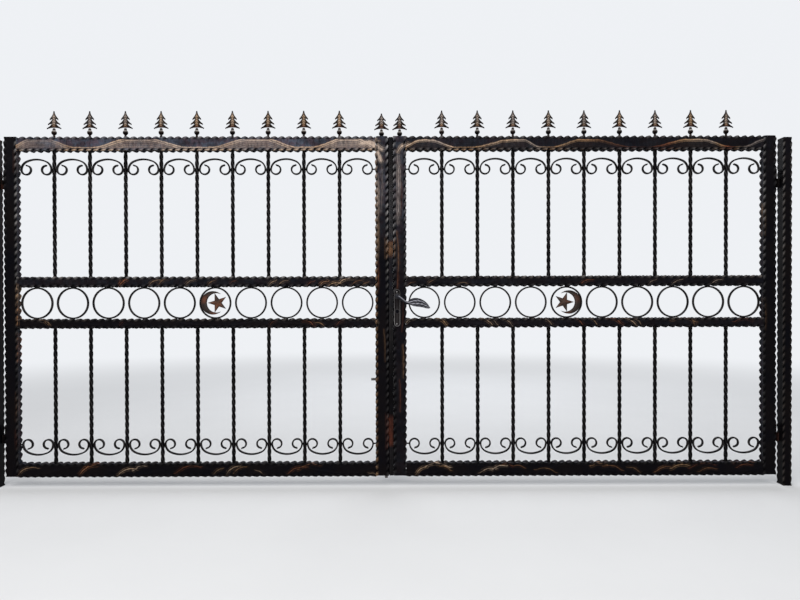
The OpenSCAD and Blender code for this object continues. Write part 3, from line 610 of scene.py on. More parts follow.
def black_paint(name, dark, warm, wear_and_highlight, rough=0.45, bump=0.25, wash=0.0, waves=False):
    """Old black paint with brushed gold, a painted sky sheen, painted highlights and painted shade, from the
    paint and form colours of the mesh.
    """
    material, g, shader, place = start_material(name)
    paint, paints = g.colours("paint")
    form, forms = g.colours("form")
    cloud = g.grain(place, 7.0, 4.0)
    blotch = g.grain(place, 38.0)
    brush = g.grain(place, 95.0, 3.0, 0.65, (1.0, 0.4, 0.4))
    fine = g.grain(place, 420.0, 2.0)
    colour = g.mixed(g.step(cloud, 0.36, 0.64), dark, warm)
    # Painted sky sheen: a blue-grey and purple reflection of the sky, painted where the paint colour's third
    # channel asks for it.
    reflected_sky = g.mixed(g.step(blotch, 0.42, 0.58), BLUE_SKY_SHEEN, PURPLE_SKY_SHEEN)
    sheen_cover = g.times(paints[2], g.line(g.line(brush, 2.4, -0.55, True), 0.95, 0.22), True)
    dull = g.step(g.grain(place, 15.0, stretch=(0.5, 1.0, 1.6)), 0.38, 0.60, 0.45)
    colour = g.mixed(g.times(sheen_cover, dull), colour, reflected_sky)
    # Lighter tops of the lumps and edges: rubbed paint and a painted highlight.
    streak = g.line(blotch, 1.5, -0.25, True)
    colour = g.mixed(g.times(forms[0], g.line(streak, 0.9, 0.35), True), colour, wear_and_highlight)
    # Gold and copper leaf, combed by the brush along its marks.
    leaf = g.ramp(paints[1], LEAF)
    hairs = g.line(brush, 2.6, -0.7, True)
    cover = g.times(paints[0], g.line(hairs, 0.95, 0.35), True)
    relief = g.maths("ADD", g.times(fine, 0.35), brush)
    track = g.times(g.maths("SUBTRACT", 0.5, forms[2]), TRACK_SPAN)
    wander = g.maths("ADD", track, g.times(g.maths("SUBTRACT", blotch, 0.5), 9.0))
    hairline = g.maths("COSINE", g.times(wander, 2 * math.pi / STRAND))
    solid = form["Alpha"]
    if waves:
        colour = wave_paint(g, place, colour, leaf, paint["Alpha"], paints[2], solid, hairs, wander, hairline)
        relief = g.maths("ADD", relief, g.times(hairline, 0.35))
    # Strokes are combed on the rails and more solid on the stiles.
    contrast = g.maths("SUBTRACT", 0.66, g.times(solid, 0.30))
    soft = g.maths("ADD", g.times(hairline, contrast), g.line(solid, 0.22, 0.36), True)
    combed = g.maths("MAXIMUM", soft, g.ranged(paints[0], 0.7, 0.95))
    colour = g.mixed(g.times(g.times(cover, combed), 0.9), colour, leaf)
    if wash:
        veil = g.step(g.grain(place, 24.0, 4.0, 0.65), 0.50, 0.66, 0.0, wash)
        colour = g.mixed(veil, colour, BROWN_WASH)
    # Painted shade from the form colour's second channel, and the finials' dark edges.
    colour = g.mixed(g.times(forms[1], 0.92, True), colour, SHADE_AND_DARK_EDGE)
    shader["Specular IOR Level"].default_value = 0.03
    sheen = g.ranged(blotch, 0.3, 0.7, rough - 0.07, rough + 0.12, "LINEAR")
    surface(g, shader, colour, sheen, relief, bump, 0.0012)
    return material


def silver(name):
    """Cast and tarnished silver, with painted highlights on its crowns and painted shade in the hollows."""
    material, g, shader, place = start_material(name)
    forms = g.colours("form")[1]
    cloud = g.grain(place, 60.0, 4.0)
    # Painted highlights from the form colour's first channel, painted shade from its second.
    wear_and_highlight = g.times(forms[0], g.maths("ADD", cloud, 0.45), True)
    tone = g.mixed(wear_and_highlight, (0.004, 0.004, 0.006), (0.50, 0.50, 0.56))
    tone = g.mixed(g.times(forms[1], 0.95, True), tone, (0.006, 0.006, 0.009))
    shader["Metallic"].default_value = 0.3
    shader["Specular IOR Level"].default_value = 0.03
    gloss = g.ranged(cloud, 0.3, 0.7, 0.26, 0.46, "LINEAR")
    surface(g, shader, tone, gloss, g.grain(place, 700.0, 2.0), 0.2, 0.0006)
    return material


def rusted(name):
    """Dull dark steel with a little rust."""
    material, g, shader, place = start_material(name)
    cloud = g.grain(place, 45.0, 5.0, 0.65)
    lengthwise = g.grain(place, 300.0, 2.0, stretch=(1.0, 1.0, 0.05))
    steel = g.mixed(lengthwise, (0.045, 0.043, 0.042), (0.12, 0.115, 0.11))
    tone = g.mixed(g.step(cloud, 0.52, 0.63), steel, (0.095, 0.036, 0.017))
    gloss = g.ranged(cloud, 0.0, 1.0, 0.4, 0.8, "LINEAR")
    surface(g, shader, tone, gloss, g.grain(place, 500.0, 2.0), 0.3, 0.0006)
    return material


FRAME_PAINT = black_paint("embossed_black_paint", (0.0018, 0.0016, 0.0030), (0.0040, 0.0028, 0.0030),
                          (0.46, 0.44, 0.43), waves=True)
BAR_PAINT = black_paint("bar_black_paint", (0.0018, 0.0016, 0.0024), (0.0030, 0.0026, 0.0026),
                        (0.070, 0.066, 0.065), rough=0.42)
SCROLL_PAINT = black_paint("scroll_black_paint", (0.0015, 0.0014, 0.0020), (0.0030, 0.0025, 0.0025),
                           (0.034, 0.031, 0.031))
CREST_PAINT = black_paint("crest_copper_paint", (0.0040, 0.0034, 0.0038), (0.0090, 0.0065, 0.0062),
                          (0.24, 0.190, 0.165), wash=0.28)
FINIAL_PAINT = black_paint("finial_gold_paint", (0.006, 0.0042, 0.0040), (0.018, 0.009, 0.007),
                           (0.40, 0.38, 0.36), rough=0.5)
HINGE_PAINT = black_paint("hinge_black_paint", (0.0034, 0.0030, 0.0036), (0.0070, 0.0052, 0.0046),
                          (0.08, 0.07, 0.065), wash=0.25)
PLATE_PAINT = black_paint("lock_plate_paint", (0.0070, 0.0066, 0.0074), (0.013, 0.009, 0.009),
                          (0.26, 0.25, 0.25), rough=0.36)
LEVER_METAL = silver("tarnished_silver")
BOLT_METAL = rusted("dull_bolt_steel")


def sky_sheen_above(base, rise, z0, reach):
    """Painted sky sheen of base, which grows by rise over the reach above z0."""
    return lambda x, z: base + rise * np.clip((z - z0) / reach, 0.0, 1.0) + 0 * x


HINGE_SKY_SHEEN = sky_sheen_above(0.0, 0.04, 1300, 300)
# Painted sky sheen on the stiles: more on the left meeting stile; the right one turns dark below the lock,
# where its sheen nearly stops.
MEETING_SKY_SHEEN = (sky_sheen_above(0.01, 0.40, 1050, 400), sky_sheen_above(0.06, 0.36, 950, 500))


def sky_sheen_rail(level, far):
    """Painted sky sheen along a rail, from level at the gate's left end to far at its right end."""
    return lambda x, z: level + (far - level) * np.clip(x / GATE_W, 0.0, 1.0)


def dim_below(z):
    """The painted highlight on the lumps: full on the upper half of the gate and weaker below the lock."""
    return 0.16 + 0.84 * np.clip((z - 850) / 350, 0.0, 1.0)


def make_stiles():
    """Hinge and meeting stiles of both leaves."""
    length = LEAF_TOP - LEAF_Z + TOP_RISE
    plain = ((0.0, 0.0, 0.0, 0.0), 0.5)
    gilt = ((0.0, 0.0, 0.0, 0.75), 0.5)
    hinge_wave = (1.3, 120.0, None)
    # Rows: side, part, phase, painted highlight of each edge's lumps, leaf, painted sky sheen, relief, share
    # of the sheen on each side, and crimp depth on each side.
    rows = (
        (0, "hinge", 9.0, (0.62, 0.5, 0.3, 0.1), plain, HINGE_SKY_SHEEN, hinge_wave, (0.05, 0.34), (1.0, NOTCH)),
        (0, "meeting", 21.0, (0.8, 0.5, 0.5, 0.6), gilt, MEETING_SKY_SHEEN[0], (1.7, 60.0, None),
         (0.1, 0.1), (NOTCH, RECESS)),
        (1, "hinge", 20.0, (0.1, 0.3, 0.5, 0.42), plain, HINGE_SKY_SHEEN, hinge_wave, (0.22, 0.05), (NOTCH, 1.0)),
        (1, "meeting", 28.0, (0.35, 0.5, 0.5, 0.75), plain, MEETING_SKY_SHEEN[1], (1.7, 260.0, None),
         (0.1, 0.1), (0.3, NOTCH)),
    )
    for side, part, phase, edges, leaf, sky_sheen, wave, sides, notches in rows:
        x = across(side, STILE_W / 2 if part == "hinge" else LEAF_W - STILE_W / 2)
        shape = Shape()
        tube(shape, True, length, STILE_W, TUBE_D, (x, LEAF_Z), phase, edges, leaf, sky_sheen, wave,
             sides=sides, fade=dim_below, notches=notches)
        if (side, part) == (1, "meeting"):
            gap_bead(shape)
        name = f"{SIDES[side]}_{part}_stile"
        piece(f"{name}_tube", shape, f"{SIDES[side]}_leaf", FRAME_PAINT, [name])


def gap_bead(shape):
    """A fine straight bead on the right meeting stile, in front of the closing strip's lip."""
    near = GATE_W - LEFT_EDGE - LEAF_W
    section = [(-1.55, -10.4), (-1.0, -10.1), (3.0, -10.1), (3.0, -14.0), (-1.0, -13.2), (-1.55, -12.4)]
    ends = (LEAF_Z + 1.0, LEAF_TOP + TOP_RISE - 1.0)
    form = np.zeros((len(ends), len(section), 4))
    # Painted shade, half strength, over the whole bead.
    form[..., 1] = 0.5
    shape.grid(np.array([[(near + x, y, z) for x, y in section] for z in ends]), None, form, flip=True)


def make_rails():
    """The four rails of each leaf."""
    # Each top rail: painted highlight of each edge's lumps, leaf, painted sky sheen and relief with its
    # brushed wave.
    tops = (((0.5, 0.3, 0.3, 0.75), (0.12, 0.0, 0.0, 2.2), sky_sheen_rail(0.95, 0.85), (2.0, 0.0, LEFT_WAVE)),
            ((0.3, 0.3, 0.3, 0.3), (0.12, 0.0, 0.0, 0.9), sky_sheen_rail(0.36, 0.04), (2.0, 0.0, RIGHT_WAVE)))
    upper_edges = ((0.6, 0.4, 0.3, 0.15), (0.3, 0.3, 0.3, 0.12))
    for side, label in enumerate(SIDES):
        low = min(bar_x(side, 0), bar_x(side, BAYS))
        # Each rail: part, lower and upper edge, painted highlight of each edge's lumps, leaf, painted sky
        # sheen, relief and height of the painted shade on the foot.
        rails = [
            ("top_rail", TOP_RAIL_Z - 3.5, LEAF_TOP + TOP_RISE, *tops[side], 4.2),
            ("upper_middle_rail", UPPER_MID_Z - 1.0, UPPER_PANEL_Z + 4.0, upper_edges[side],
             (0.15, 0.0, 0.0, 0.0), sky_sheen_rail(0.12, 0.06), (1.3, 40.0, None), 4.0),
            ("lower_middle_rail", LOWER_MID_Z - 4.5, BAND_Z + 1.0, (0.14, 0.3, 0.3, 0.05),
             (0.1, 0.0, 0.0, 0.0), sky_sheen_rail(0.01, 0.08), (1.3, 190.0, None), 4.0),
            ("bottom_rail", LEAF_Z - 3.0, LOWER_PANEL_Z + 1.5, (0.06, 0.4, 0.3, 0.02),
             (0.0, 0.0, 0.0, 0.0), sky_sheen_rail(0.015, 0.01), (1.7, 300.0, None), 4.0),
        ]
        for k, (part, z, top, edges, leaf, sky_sheen, wave, foot) in enumerate(rails):
            shape = Shape()
            phase = 5.0 + 6.3 * k + 3.1 * side
            tube(shape, False, BAYS * PITCH, top - z, TUBE_D, (low, (z + top) / 2), phase,
                 edges, (leaf, 0.9), sky_sheen, wave, extend=2.4, period=34.1, underside=foot,
                 notches=(NOTCH if k < 3 else 1.0, NOTCH))
            piece(f"{label}_{part}_tube", shape, f"{label}_leaf", FRAME_PAINT, [f"{label}_{part}"])


def make_posts():
    """The posts, of the same tube turned with its narrow face to the front."""
    for side, label in enumerate(SIDES):
        shape = Shape()
        # A painted highlight on the lumps, and the hinge stiles' painted sky sheen.
        tube(shape, True, POST_TOP, POST_W, POST_D, (GATE_W * side, 0.0), 12.0,
             (0.4, 0.3, 0.3, 0.4), ((0.1, 0.0, 0.0, 0.1), 0.95), HINGE_SKY_SHEEN, (1.0, 50.0, None), proud=0.0,
             sides=(0.0, 0.0), fade=dim_below, notches=(1.0, 1.0), lip=8.0)
        piece(f"{label}_post_tube", shape, "posts", FRAME_PAINT, [f"{label}_post"])


def make_bars():
    """Square bars twisted from end to end, which run a little way into the rails."""
    a, e, into = BAR_SIDE / 2, 1.5, 3.5
    quarter = [(a - 0.5, -2.5), (a - 0.5, 2.5), (a, a - e), (a - 0.45, a - 0.45), (a - e, a)]
    corners = [(math.cos(k * math.pi / 2), math.sin(k * math.pi / 2)) for k in range(4)]
    section = np.array([(c * x - s * y, s * x + c * y) for c, s in corners for x, y in quarter])
    # Painted glints over rubbed paint on the corners, stronger on the upper bars than on the lower ones.
    levels = np.array([0.0, 0.0, 0.45, 1.0, 0.45] * 4)
    rows = (("upper", UPPER_PANEL_Z, TOP_RAIL_Z, TOP_RAIL_Z - SCROLL_INSET, 0.85),
            ("lower", LOWER_PANEL_Z, LOWER_MID_Z, LOWER_PANEL_Z + SCROLL_INSET, 0.62))
    for side, label in enumerate(SIDES):
        for part, foot, top, scroll_z, level in rows:
            shape = Shape()
            z0 = foot - into
            h = top + into - z0
            t = np.linspace(0.0, 1.0, int(round(h / TURN * 24)) + 1)[:, None]
            turn = math.pi / 4 + 2 * math.pi / TURN * (scroll_z - z0 - h * t)
            x = section[:, 0] * np.cos(turn) - section[:, 1] * np.sin(turn)
            y = section[:, 0] * np.sin(turn) + section[:, 1] * np.cos(turn)
            z = z0 + h * t + 0 * x
            for i in range(1, BAYS):
                patch = 0.7 + 0.35 * np.sin(z / 83.0 + i * 1.7) + 0.2 * np.sin(z / 29.0 + i)
                form = np.zeros(x.shape + (4,))
                form[..., 0] = levels * level * np.clip(patch, 0.25, 1.2)
                shape.grid(np.stack([x + bar_x(side, i), y, z], axis=-1), None, form)
            piece(f"{label}_{part}_twisted_bars", shape, f"{label}_leaf", BAR_PAINT,
                  [f"{label}_{part}_bars"])


def scroll_path():
    """Middle line of a C scroll's right half as points and outward directions, arch up."""
    run = SCROLL_HALF - 42.0
    drop = (run ** 2 - 36.0) / 12.0
    crown = 42.0 + 6.0 + drop
    tilt = math.degrees(math.atan2(run, drop))
    arcs = [(crown, 90 + tilt, 8), (42.0, 180, 12), (22.0, 360, 20), (19.0, 440, 10), (-8.0, 385, 7)]
    middle = np.array([0.0, -drop])
    angle = 90.0
    points, outward = [], []
    last = None
    for radius, stop, steps in arcs:
        if last is not None:
            toward = np.array([math.cos(math.radians(angle)), math.sin(math.radians(angle))])
            middle = middle + (last - radius) * toward
        for k in range(0 if last is None else 1, steps + 1):
            a = math.radians(angle + (stop - angle) * k / steps)
            d = np.array([math.cos(a), math.sin(a)])
            points.append(middle + radius * d)
            outward.append(d)
        angle, last = stop, radius
    return np.array(points), np.array(outward)


def weld(shape, x, z, r):
    """A small lump of weld, 10 mm long from front to back."""
    lathe(shape, (x, 0.0, z), [(t * 5.0 / r, q) for t, q in ball(r, 6)], axis=1, places=10, crest=0.12)


def make_scrolls():
    """C scrolls at the top and the bottom of each bay, with pegs to the stiles at a leaf's ends."""
    half, outward = scroll_path()
    line = np.vstack([half[::-1], (half * [-1, 1])[1:]])
    sides = np.vstack([outward[::-1], (outward * [-1, 1])[1:]])
    count = len(line)
    from_end = np.minimum(np.arange(count), count - 1 - np.arange(count))
    size = np.clip(0.45 + from_end / 6.0, 0.0, 1.0)
    section, levels = bevelled(STRIP_T + 0.9, STRIP_D, 1.2)
    peg = [(-6.0, 3.4), (0.0, 3.1), (5.8, 3.4)]
    rows = (("upper", TOP_RAIL_Z - SCROLL_INSET, 1), ("lower", LOWER_PANEL_Z + SCROLL_INSET, -1))
    for side, label in enumerate(SIDES):
        outermost = ((1, 2 * side - 1), (BAYS, 1 - 2 * side))
        for part, level, up in rows:
            shape = Shape()
            for i in range(1, BAYS + 1):
                x = bay_x(side, i)
                path = np.stack([x + line[:, 0], 0 * line[:, 0], level + up * line[:, 1]], axis=-1)
                outs = np.stack([sides[:, 0], 0 * sides[:, 0], up * sides[:, 1]], axis=-1)
                swept(shape, path, outs, section, levels * 0.8, size=size, flip=up > 0)
                for way in (-1, 1):
                    reach = SCROLL_HALF + 4.0
                    if (i, way) in outermost:
                        reach = SCROLL_HALF + 3.4
                        lathe(shape, (x + way * (SCROLL_HALF + 7.4), 0, level), peg, axis=0, places=12)
                    weld(shape, x + way * reach, level, 4.4)
            piece(f"{label}_{part}_c_scrolls", shape, f"{label}_leaf", SCROLL_PAINT,
                  [f"{label}_{part}_scrolls"])


def make_rings():
    """Rings in the middle band, welded to both rails."""
    section, levels = bevelled(STRIP_T + 1.0, STRIP_D, 1.3)
    angle = np.linspace(0, 2 * math.pi, 72, endpoint=False)
    outs = np.stack([np.cos(angle), 0 * angle, np.sin(angle)], axis=-1)
    for side, label in enumerate(SIDES):
        shape = Shape()
        for i in range(1, BAYS + 1):
            x = bay_x(side, i)
            path = np.array([x, 0.0, BAND_MID_Z]) + outs * (RING_R - STRIP_T / 2 - 0.2)
            swept(shape, path, outs, section, levels * 0.9, loop=True, flip=True)
            for s in (-1, 1):
                for dx, r in ((-4, 4.4), (4, 4.2)):
                    weld(shape, x + dx, BAND_MID_Z + s * (RING_R + 0.6), r)
        piece(f"{label}_band_rings", shape, f"{label}_leaf", SCROLL_PAINT, [f"{label}_rings"])


# Radii of the crescent's outer and inner edge, its width and the middles of both circles.
MOON_R, BITE_R, MOON_W = 54.5, 44.8, 26.7
MOON_X = RING_R - STRIP_T - 0.3 - MOON_R
BITE_X = MOON_X + MOON_R - MOON_W - BITE_R
# Radii of the star's points and waist, and how far its middle lies aside from the ring's
STAR_R = 47.5
STAR_WAIST = 0.382 * STAR_R
STAR_ASIDE = 11.0
# The bay with the crescent and star, counted from the hinge stile
CREST_BAY = 6


def crescent(shape, x0, way, copper):
    """The crescent, thickest in its middle, with rubbed edges, painted highlights on its bevels and painted
    shade along its rims.
    """
    gap = MOON_X - BITE_X
    horn = 0.992 * math.acos((BITE_R ** 2 - MOON_R ** 2 - gap ** 2) / (2 * gap * MOON_R))
    front_y = -STRIP_D / 2
    # Each place round the section: painted highlight over rubbed paint, and painted shade at the rims.
    edge_wear_and_shade = [(w, e, 0.5, 0) for w, e in ((0.0, 0.9), (0.45, 0.5), (0.12, 0.0), (0.25, 0.6), (0.0, 0.9),
                                        (0.0, 0.9), (0.3, 0.4), (0.1, 0.0), (0.3, 0.4), (0.0, 0.9))]
    rings, paints = [], []
    for a in np.linspace(-horn, horn, 49):
        outer = np.array([MOON_X + MOON_R * math.cos(a), MOON_R * math.sin(a)])
        b = math.atan2(outer[1], outer[0] - BITE_X)
        inner = np.array([BITE_X + BITE_R * math.cos(b), BITE_R * math.sin(b)])
        thick = max(np.linalg.norm(outer - inner), 0.8)
        cut = min(2.4, thick * 0.3)
        d = (outer - inner) / thick
        front = [(0, cut), (cut, 0.3), (thick * 0.5, 0), (thick - cut, 0.3), (thick, cut)]
        front = [(t, front_y + deep) for t, deep in front]
        places = front + [(t, -y) for t, y in front[::-1]]
        rings.append([(x0 + way * (inner[0] + d[0] * t), y, BAND_MID_Z + inner[1] + d[1] * t)
                      for t, y in places])
        paints.append([(max(0.0, math.sin(a * 3.1 + 0.5)) * copper, 0.16, 0, 0)] * len(places))
    shape.grid(np.array(rings), paints, edge_wear_and_shade * len(rings), flip=way > 0)


def star(shape, x0, way, copper):
    """The five pointed star, with a raised middle on both faces."""
    corners = []
    for k in range(10):
        a = math.radians(36 * k)
        corners.append((STAR_WAIST if k % 2 else STAR_R) * np.array([math.cos(a), math.sin(a)]))
    rim = []
    for k in range(10):
        rim += [corners[k], (corners[k] + corners[(k + 1) % 10]) / 2]
    rings, forms = [], []
    # Rings from the middle to the rim and back: share of the outline, depth and painted highlight; the rim
    # gets painted shade, and the tips more highlight than the waists.
    steps = ((0.05, -8.0, 0.5), (0.35, -6.0, 0.35), (0.7, -3.9, 0.35), (0.95, -2.4, 0.8), (1.0, -1.5, 0.6),
             (1.0, 1.5, 0.4), (0.95, 2.4, 0.6), (0.7, 3.9, 0.3), (0.35, 6.0, 0.3), (0.05, 8.0, 0.3))
    for f, y, c in steps:
        rings.append([(x0 + way * p[0] * f, y, BAND_MID_Z + p[1] * f) for p in rim])
        forms += [(c * wear_and_highlight, 0.85 if f > 0.9 else 0.0, 0.5, 0) for wear_and_highlight in (1.0, 0.3, 0.55, 0.3) * 5]
    rings = np.array(rings)
    paint = np.zeros(rings.shape[:2] + (4,))
    patch = 0.6 + 0.6 * np.sin(rings[..., 0] / 12.0 + 1.0) * np.sin(rings[..., 2] / 15.0)
    paint[..., 0] = copper * np.clip(patch, 0, 1)
    paint[..., 1] = 0.22
    shape.grid(rings, paint, forms, flip=way < 0)


def make_crest():
    """The crescent and the star in one ring of each leaf."""
    for side, (label, way, copper) in enumerate((("left", -1, 0.55), ("right", 1, 0.22))):
        x0 = bay_x(side, CREST_BAY)
        shape = Shape()
        crescent(shape, x0, way, copper)
        star(shape, x0 - way * STAR_ASIDE, way, copper)
        # Two welds join the crescent to its ring.
        for a in (-0.5, 0.5):
            out = MOON_X + MOON_R * math.cos(a) + 0.5
            weld(shape, x0 + way * out, BAND_MID_Z + MOON_R * math.sin(a), 3.4)
        piece(f"{label}_crescent_star", shape, f"{label}_leaf", CREST_PAINT,
              [f"{label}_crescent_and_star"], smooth=24.0)


# Colour of each finial's middle from the hinge to the meeting stile: 0.6 is gold, 1 pale grey.
FINIAL_TONES = ((0.92, 1.0, 0.95, 0.78, 0.66, 0.72, 0.68, 0.66, 0.72, 1.0),
                (0.9, 0.6, 0.95, 0.7, 1.0, 0.85, 1.0, 0.9, 0.98, 1.0))
# Height of the tip and rise of the skirts, for trees over the bars and over the meeting stiles
BAR_TREE = (121.0, 3.7)
STILE_TREE = (107.5, -4.0)
# Places across a skirt, in shares of its half width
SHARES = np.array([-1.0, -0.94, -0.84, -0.68, -0.5, -0.32, -0.16, 0.0,
                   0.16, 0.32, 0.5, 0.68, 0.84, 0.94, 1.0])


def skirt(x0, z0, x1, z1, rise, count):
    """Rows of one skirt of the tree: height at the middle, drop to the end, half width, share."""
    rows = []
    for k in range(count + 1):
        f = k / count
        drop = (rise + 1.0) * f ** 2
        rows.append((z0 + (z1 - z0) * f + drop, drop, x0 + (x1 - x0) * min(1.0, f / 0.82) ** 1.9, f))
    return rows


def skirt_skin(shape, x, base_z, rows, metal, tone):
    """The closed skin of one skirt: gold with brushed lines in its middle and dark at its ends."""
    points, forms, paints = [], [], []
    for zc, drop, half, f in rows:
        deep = 1.4 + 4.9 * (1 - zc / 132.0)
        thin = 1.0 - 0.35 * f
        for face in (-1, 1):
            for q in SHARES[::-face]:
                away = abs(q)
                z = zc - drop * away ** 2.2
                lines = 0.5 + 0.5 * math.cos(2 * math.pi * (zc + 0.9 * away * half) / 11.0)
                rim = math.sqrt(max(0.0, 1 - away ** 6))
                y = face * (0.3 + (0.9 + (deep - 1.2) * (1 - away) ** 1.3) * rim * thin
                            + 0.7 * lines * (1 - away) * min(1.0, half / 9))
                points.append((x + half * q, max(min(y, 6.4), -6.4), base_z + z))
                edge = half * (1 - away)
                dark = (max(0.0, 1 - (edge - 2.8) / 2.4) + max(0.0, half * away - 4.5) / 3.0
                        + 0.7 * (1 - lines) ** 2 + 0.8 * max(0.0, f - 0.8) / 0.2 * min(1.0, 2 * away))
                glow = min(1.0, max(0.0, edge - 2.6) / 2.0) * (0.45 + 0.55 * lines)
                # Form: a painted highlight on the crowns of the brushed lines, and dark at the edges, at the
                # tips and between the lines.
                forms.append((0.25 * lines * (1 - away), min(1.0, dark), 0.5, 0))
                foot = max(0.0, min(1.0, (62.0 - z) / 14.0))
                paints.append((glow * metal * (1 - 0.45 * foot), tone + (0.22 - tone) * foot, 0, 0))
    count = len(SHARES)
    first = shape.count
    shape.grid(np.array(points).reshape(len(rows), 2 * count, 3), paints, forms, fans=False)
    last = first + (len(rows) - 1) * 2 * count
    for j in range(count - 1):
        k = 2 * count - 2 - j
        shape.faces.append([last + j, last + j + 1, last + k, last + k + 1])
        shape.faces.append([first + j + 1, first + j, first + k + 1, first + k])


def make_finials():
    """Pine tree finials on their balls."""
    base_z = LEAF_TOP + TOP_RISE
    for side, label in enumerate(SIDES):
        shape = Shape()
        for number, tone in enumerate(FINIAL_TONES[side]):
            on_bar = number < BAYS - 1
            x = bar_x(side, number + 1) if on_bar else across(side, LEAF_W - STILE_W / 2)
            tip, up = BAR_TREE if on_bar else STILE_TREE
            metal = (0.95, 0.78, 0.88, 0.74, 0.92)[(3 * number + side) % 5] * (1.0 if side == 0 else 0.9)
            for rows in (skirt(2.8, tip, 20.0, 75.0 + up, 7.0, 12),
                         skirt(7.0, 88.0 + up, 28.5, 52.5 + up, 7.0, 11),
                         skirt(9.6, 65.0 + up, 33.5, 34.0 + up, 6.5, 11)):
                skirt_skin(shape, x, base_z, rows, metal, tone)
            foot = [(-9.2, 8.5), (-2.4, 8.5), (0.4, 6.6), (7.0, 5.0), (38.0 + up, 4.8)]
            lathe(shape, (x, 0, base_z), foot, crest=0.05)
            # Painted highlight on the ball's upper half and painted shade on its lower half.
            shine = 0.9 if number % 3 == 1 else 0.65
            lathe(shape, (x, 0, base_z + 18 + up), ball(12.0, 12), crest=0.0, places=20, shine=shine)
            collar = [(28.5, 5.0), (29.4, 6.4), (31.0, 6.8), (34.0, 6.4), (36.5, 5.0)]
            lathe(shape, (x, 0, base_z), [(t + up, r) for t, r in collar], crest=0.1)
        piece(f"{label}_pine_finials", shape, f"{label}_leaf", FINIAL_PAINT, [f"{label}_finials"],
              smooth=50.0)


# Section of the closing strip from its left edge, the painted highlight over rubbed paint of each place, and
# the painted shade in its grooves and at its lip.
STRIP_SECTION = [
    (-2.8, 0.2), (4.4, 0.0), (4.6, -14.0), (5.0, -16.6), (5.8, -17.2), (6.7, -16.6), (7.2, -14.4),
    (8.6, -14.2), (9.2, -16.2), (10.0, -16.9), (10.8, -16.2), (11.4, -14.2), (13.2, -14.2),
    (13.8, -16.2), (14.6, -16.9), (15.4, -16.2), (16.0, -14.0), (17.6, -13.8), (18.2, -15.6),
    (19.0, -16.4), (19.9, -15.8), (20.4, -13.6), (20.7, -10.4), (22.4, -9.6), (22.4, -9.0),
    (17.8, -7.2), (17.8, 6.6), (16.4, 8.0), (-2.8, 8.0)]
STRIP_WEAR_AND_HIGHLIGHT = np.array([0, 0, 0, 0.3, 0.75, 0.3, 0, 0, 0.3, 0.8, 0.3, 0, 0, 0.3, 0.75, 0.3, 0, 0, 0.3,
                       0.7, 0.4, 0.1, 0, 0, 0, 0, 0.1, 0.2, 0])
STRIP_SHADE = [0, 0, 0, 0, 0, 0, 0.8, 0.8, 0, 0, 0, 0.75, 0.75, 0, 0, 0, 0.85, 0.85, 0, 0, 0, 0.2,
              0.9, 0.9, 0.9, 0.9, 0, 0, 0]


def make_strip():
    """The closing strip, with fine beads along its face and a thin lip towards the other leaf."""
    edge = span("closing_strip", 0)[0]
    x, y = np.array(STRIP_SECTION).T
    z = np.linspace(LEAF_Z, LEAF_TOP, 110)[:, None]
    points = np.stack(np.broadcast_arrays(edge + x, y, z), axis=-1)
    # Painted highlights on the beads and the painted sky sheen, weaker on the lower part of the strip.
    high = np.clip((z - 500.0) / 500.0, 0.25, 1.0)
    form = np.zeros(points.shape[:2] + (4,))
    form[..., 0] = 0.42 * STRIP_WEAR_AND_HIGHLIGHT * (0.6 + 0.4 * np.sin(z / 91.0)) * high
    form[..., 1] = STRIP_SHADE
    form[..., 2] = 0.5
    paint = np.zeros(points.shape[:2] + (4,))
    paint[..., 2] = np.clip(0.20 + 0.12 * np.sin(z / 140.0), 0, 1) * high
    # Two patches of paint: from and to which height, strength and hue
    for low, top, strength, hue in ((1062.0, 1140.0, 0.60, 0.42), (180.0, 328.0, 0.75, 0.06)):
        here = np.clip((z - low) / 12.0, 0, 1) * np.clip((top - z) / 12.0, 0, 1)
        paint[..., 0] = np.maximum(paint[..., 0], strength * here)
        paint[..., 1] = np.where(here > 0, hue, paint[..., 1])
    shape = Shape()
    shape.grid(points, paint, form)
    for k in range(9):
        spot = (edge + 1.5, 8.4, LEAF_Z + 60 + k * 180)
        lathe(shape, spot, [(-9.0, 1.0), (-7.0, 2.1), (7.0, 2.1), (9.0, 1.0)], places=8, crest=0.1)
    piece("closing_strip_bar", shape, "left_leaf", FRAME_PAINT, ["closing_strip"])


def stadium(r, half_h, places=40):
    """Outline of a plate with round ends, from its middle."""
    out = []
    for k in range(places):
        a = 2 * math.pi * k / places
        out.append((r * math.cos(a), r * math.sin(a) + (half_h - r if 2 * k <= places else r - half_h)))
    return out


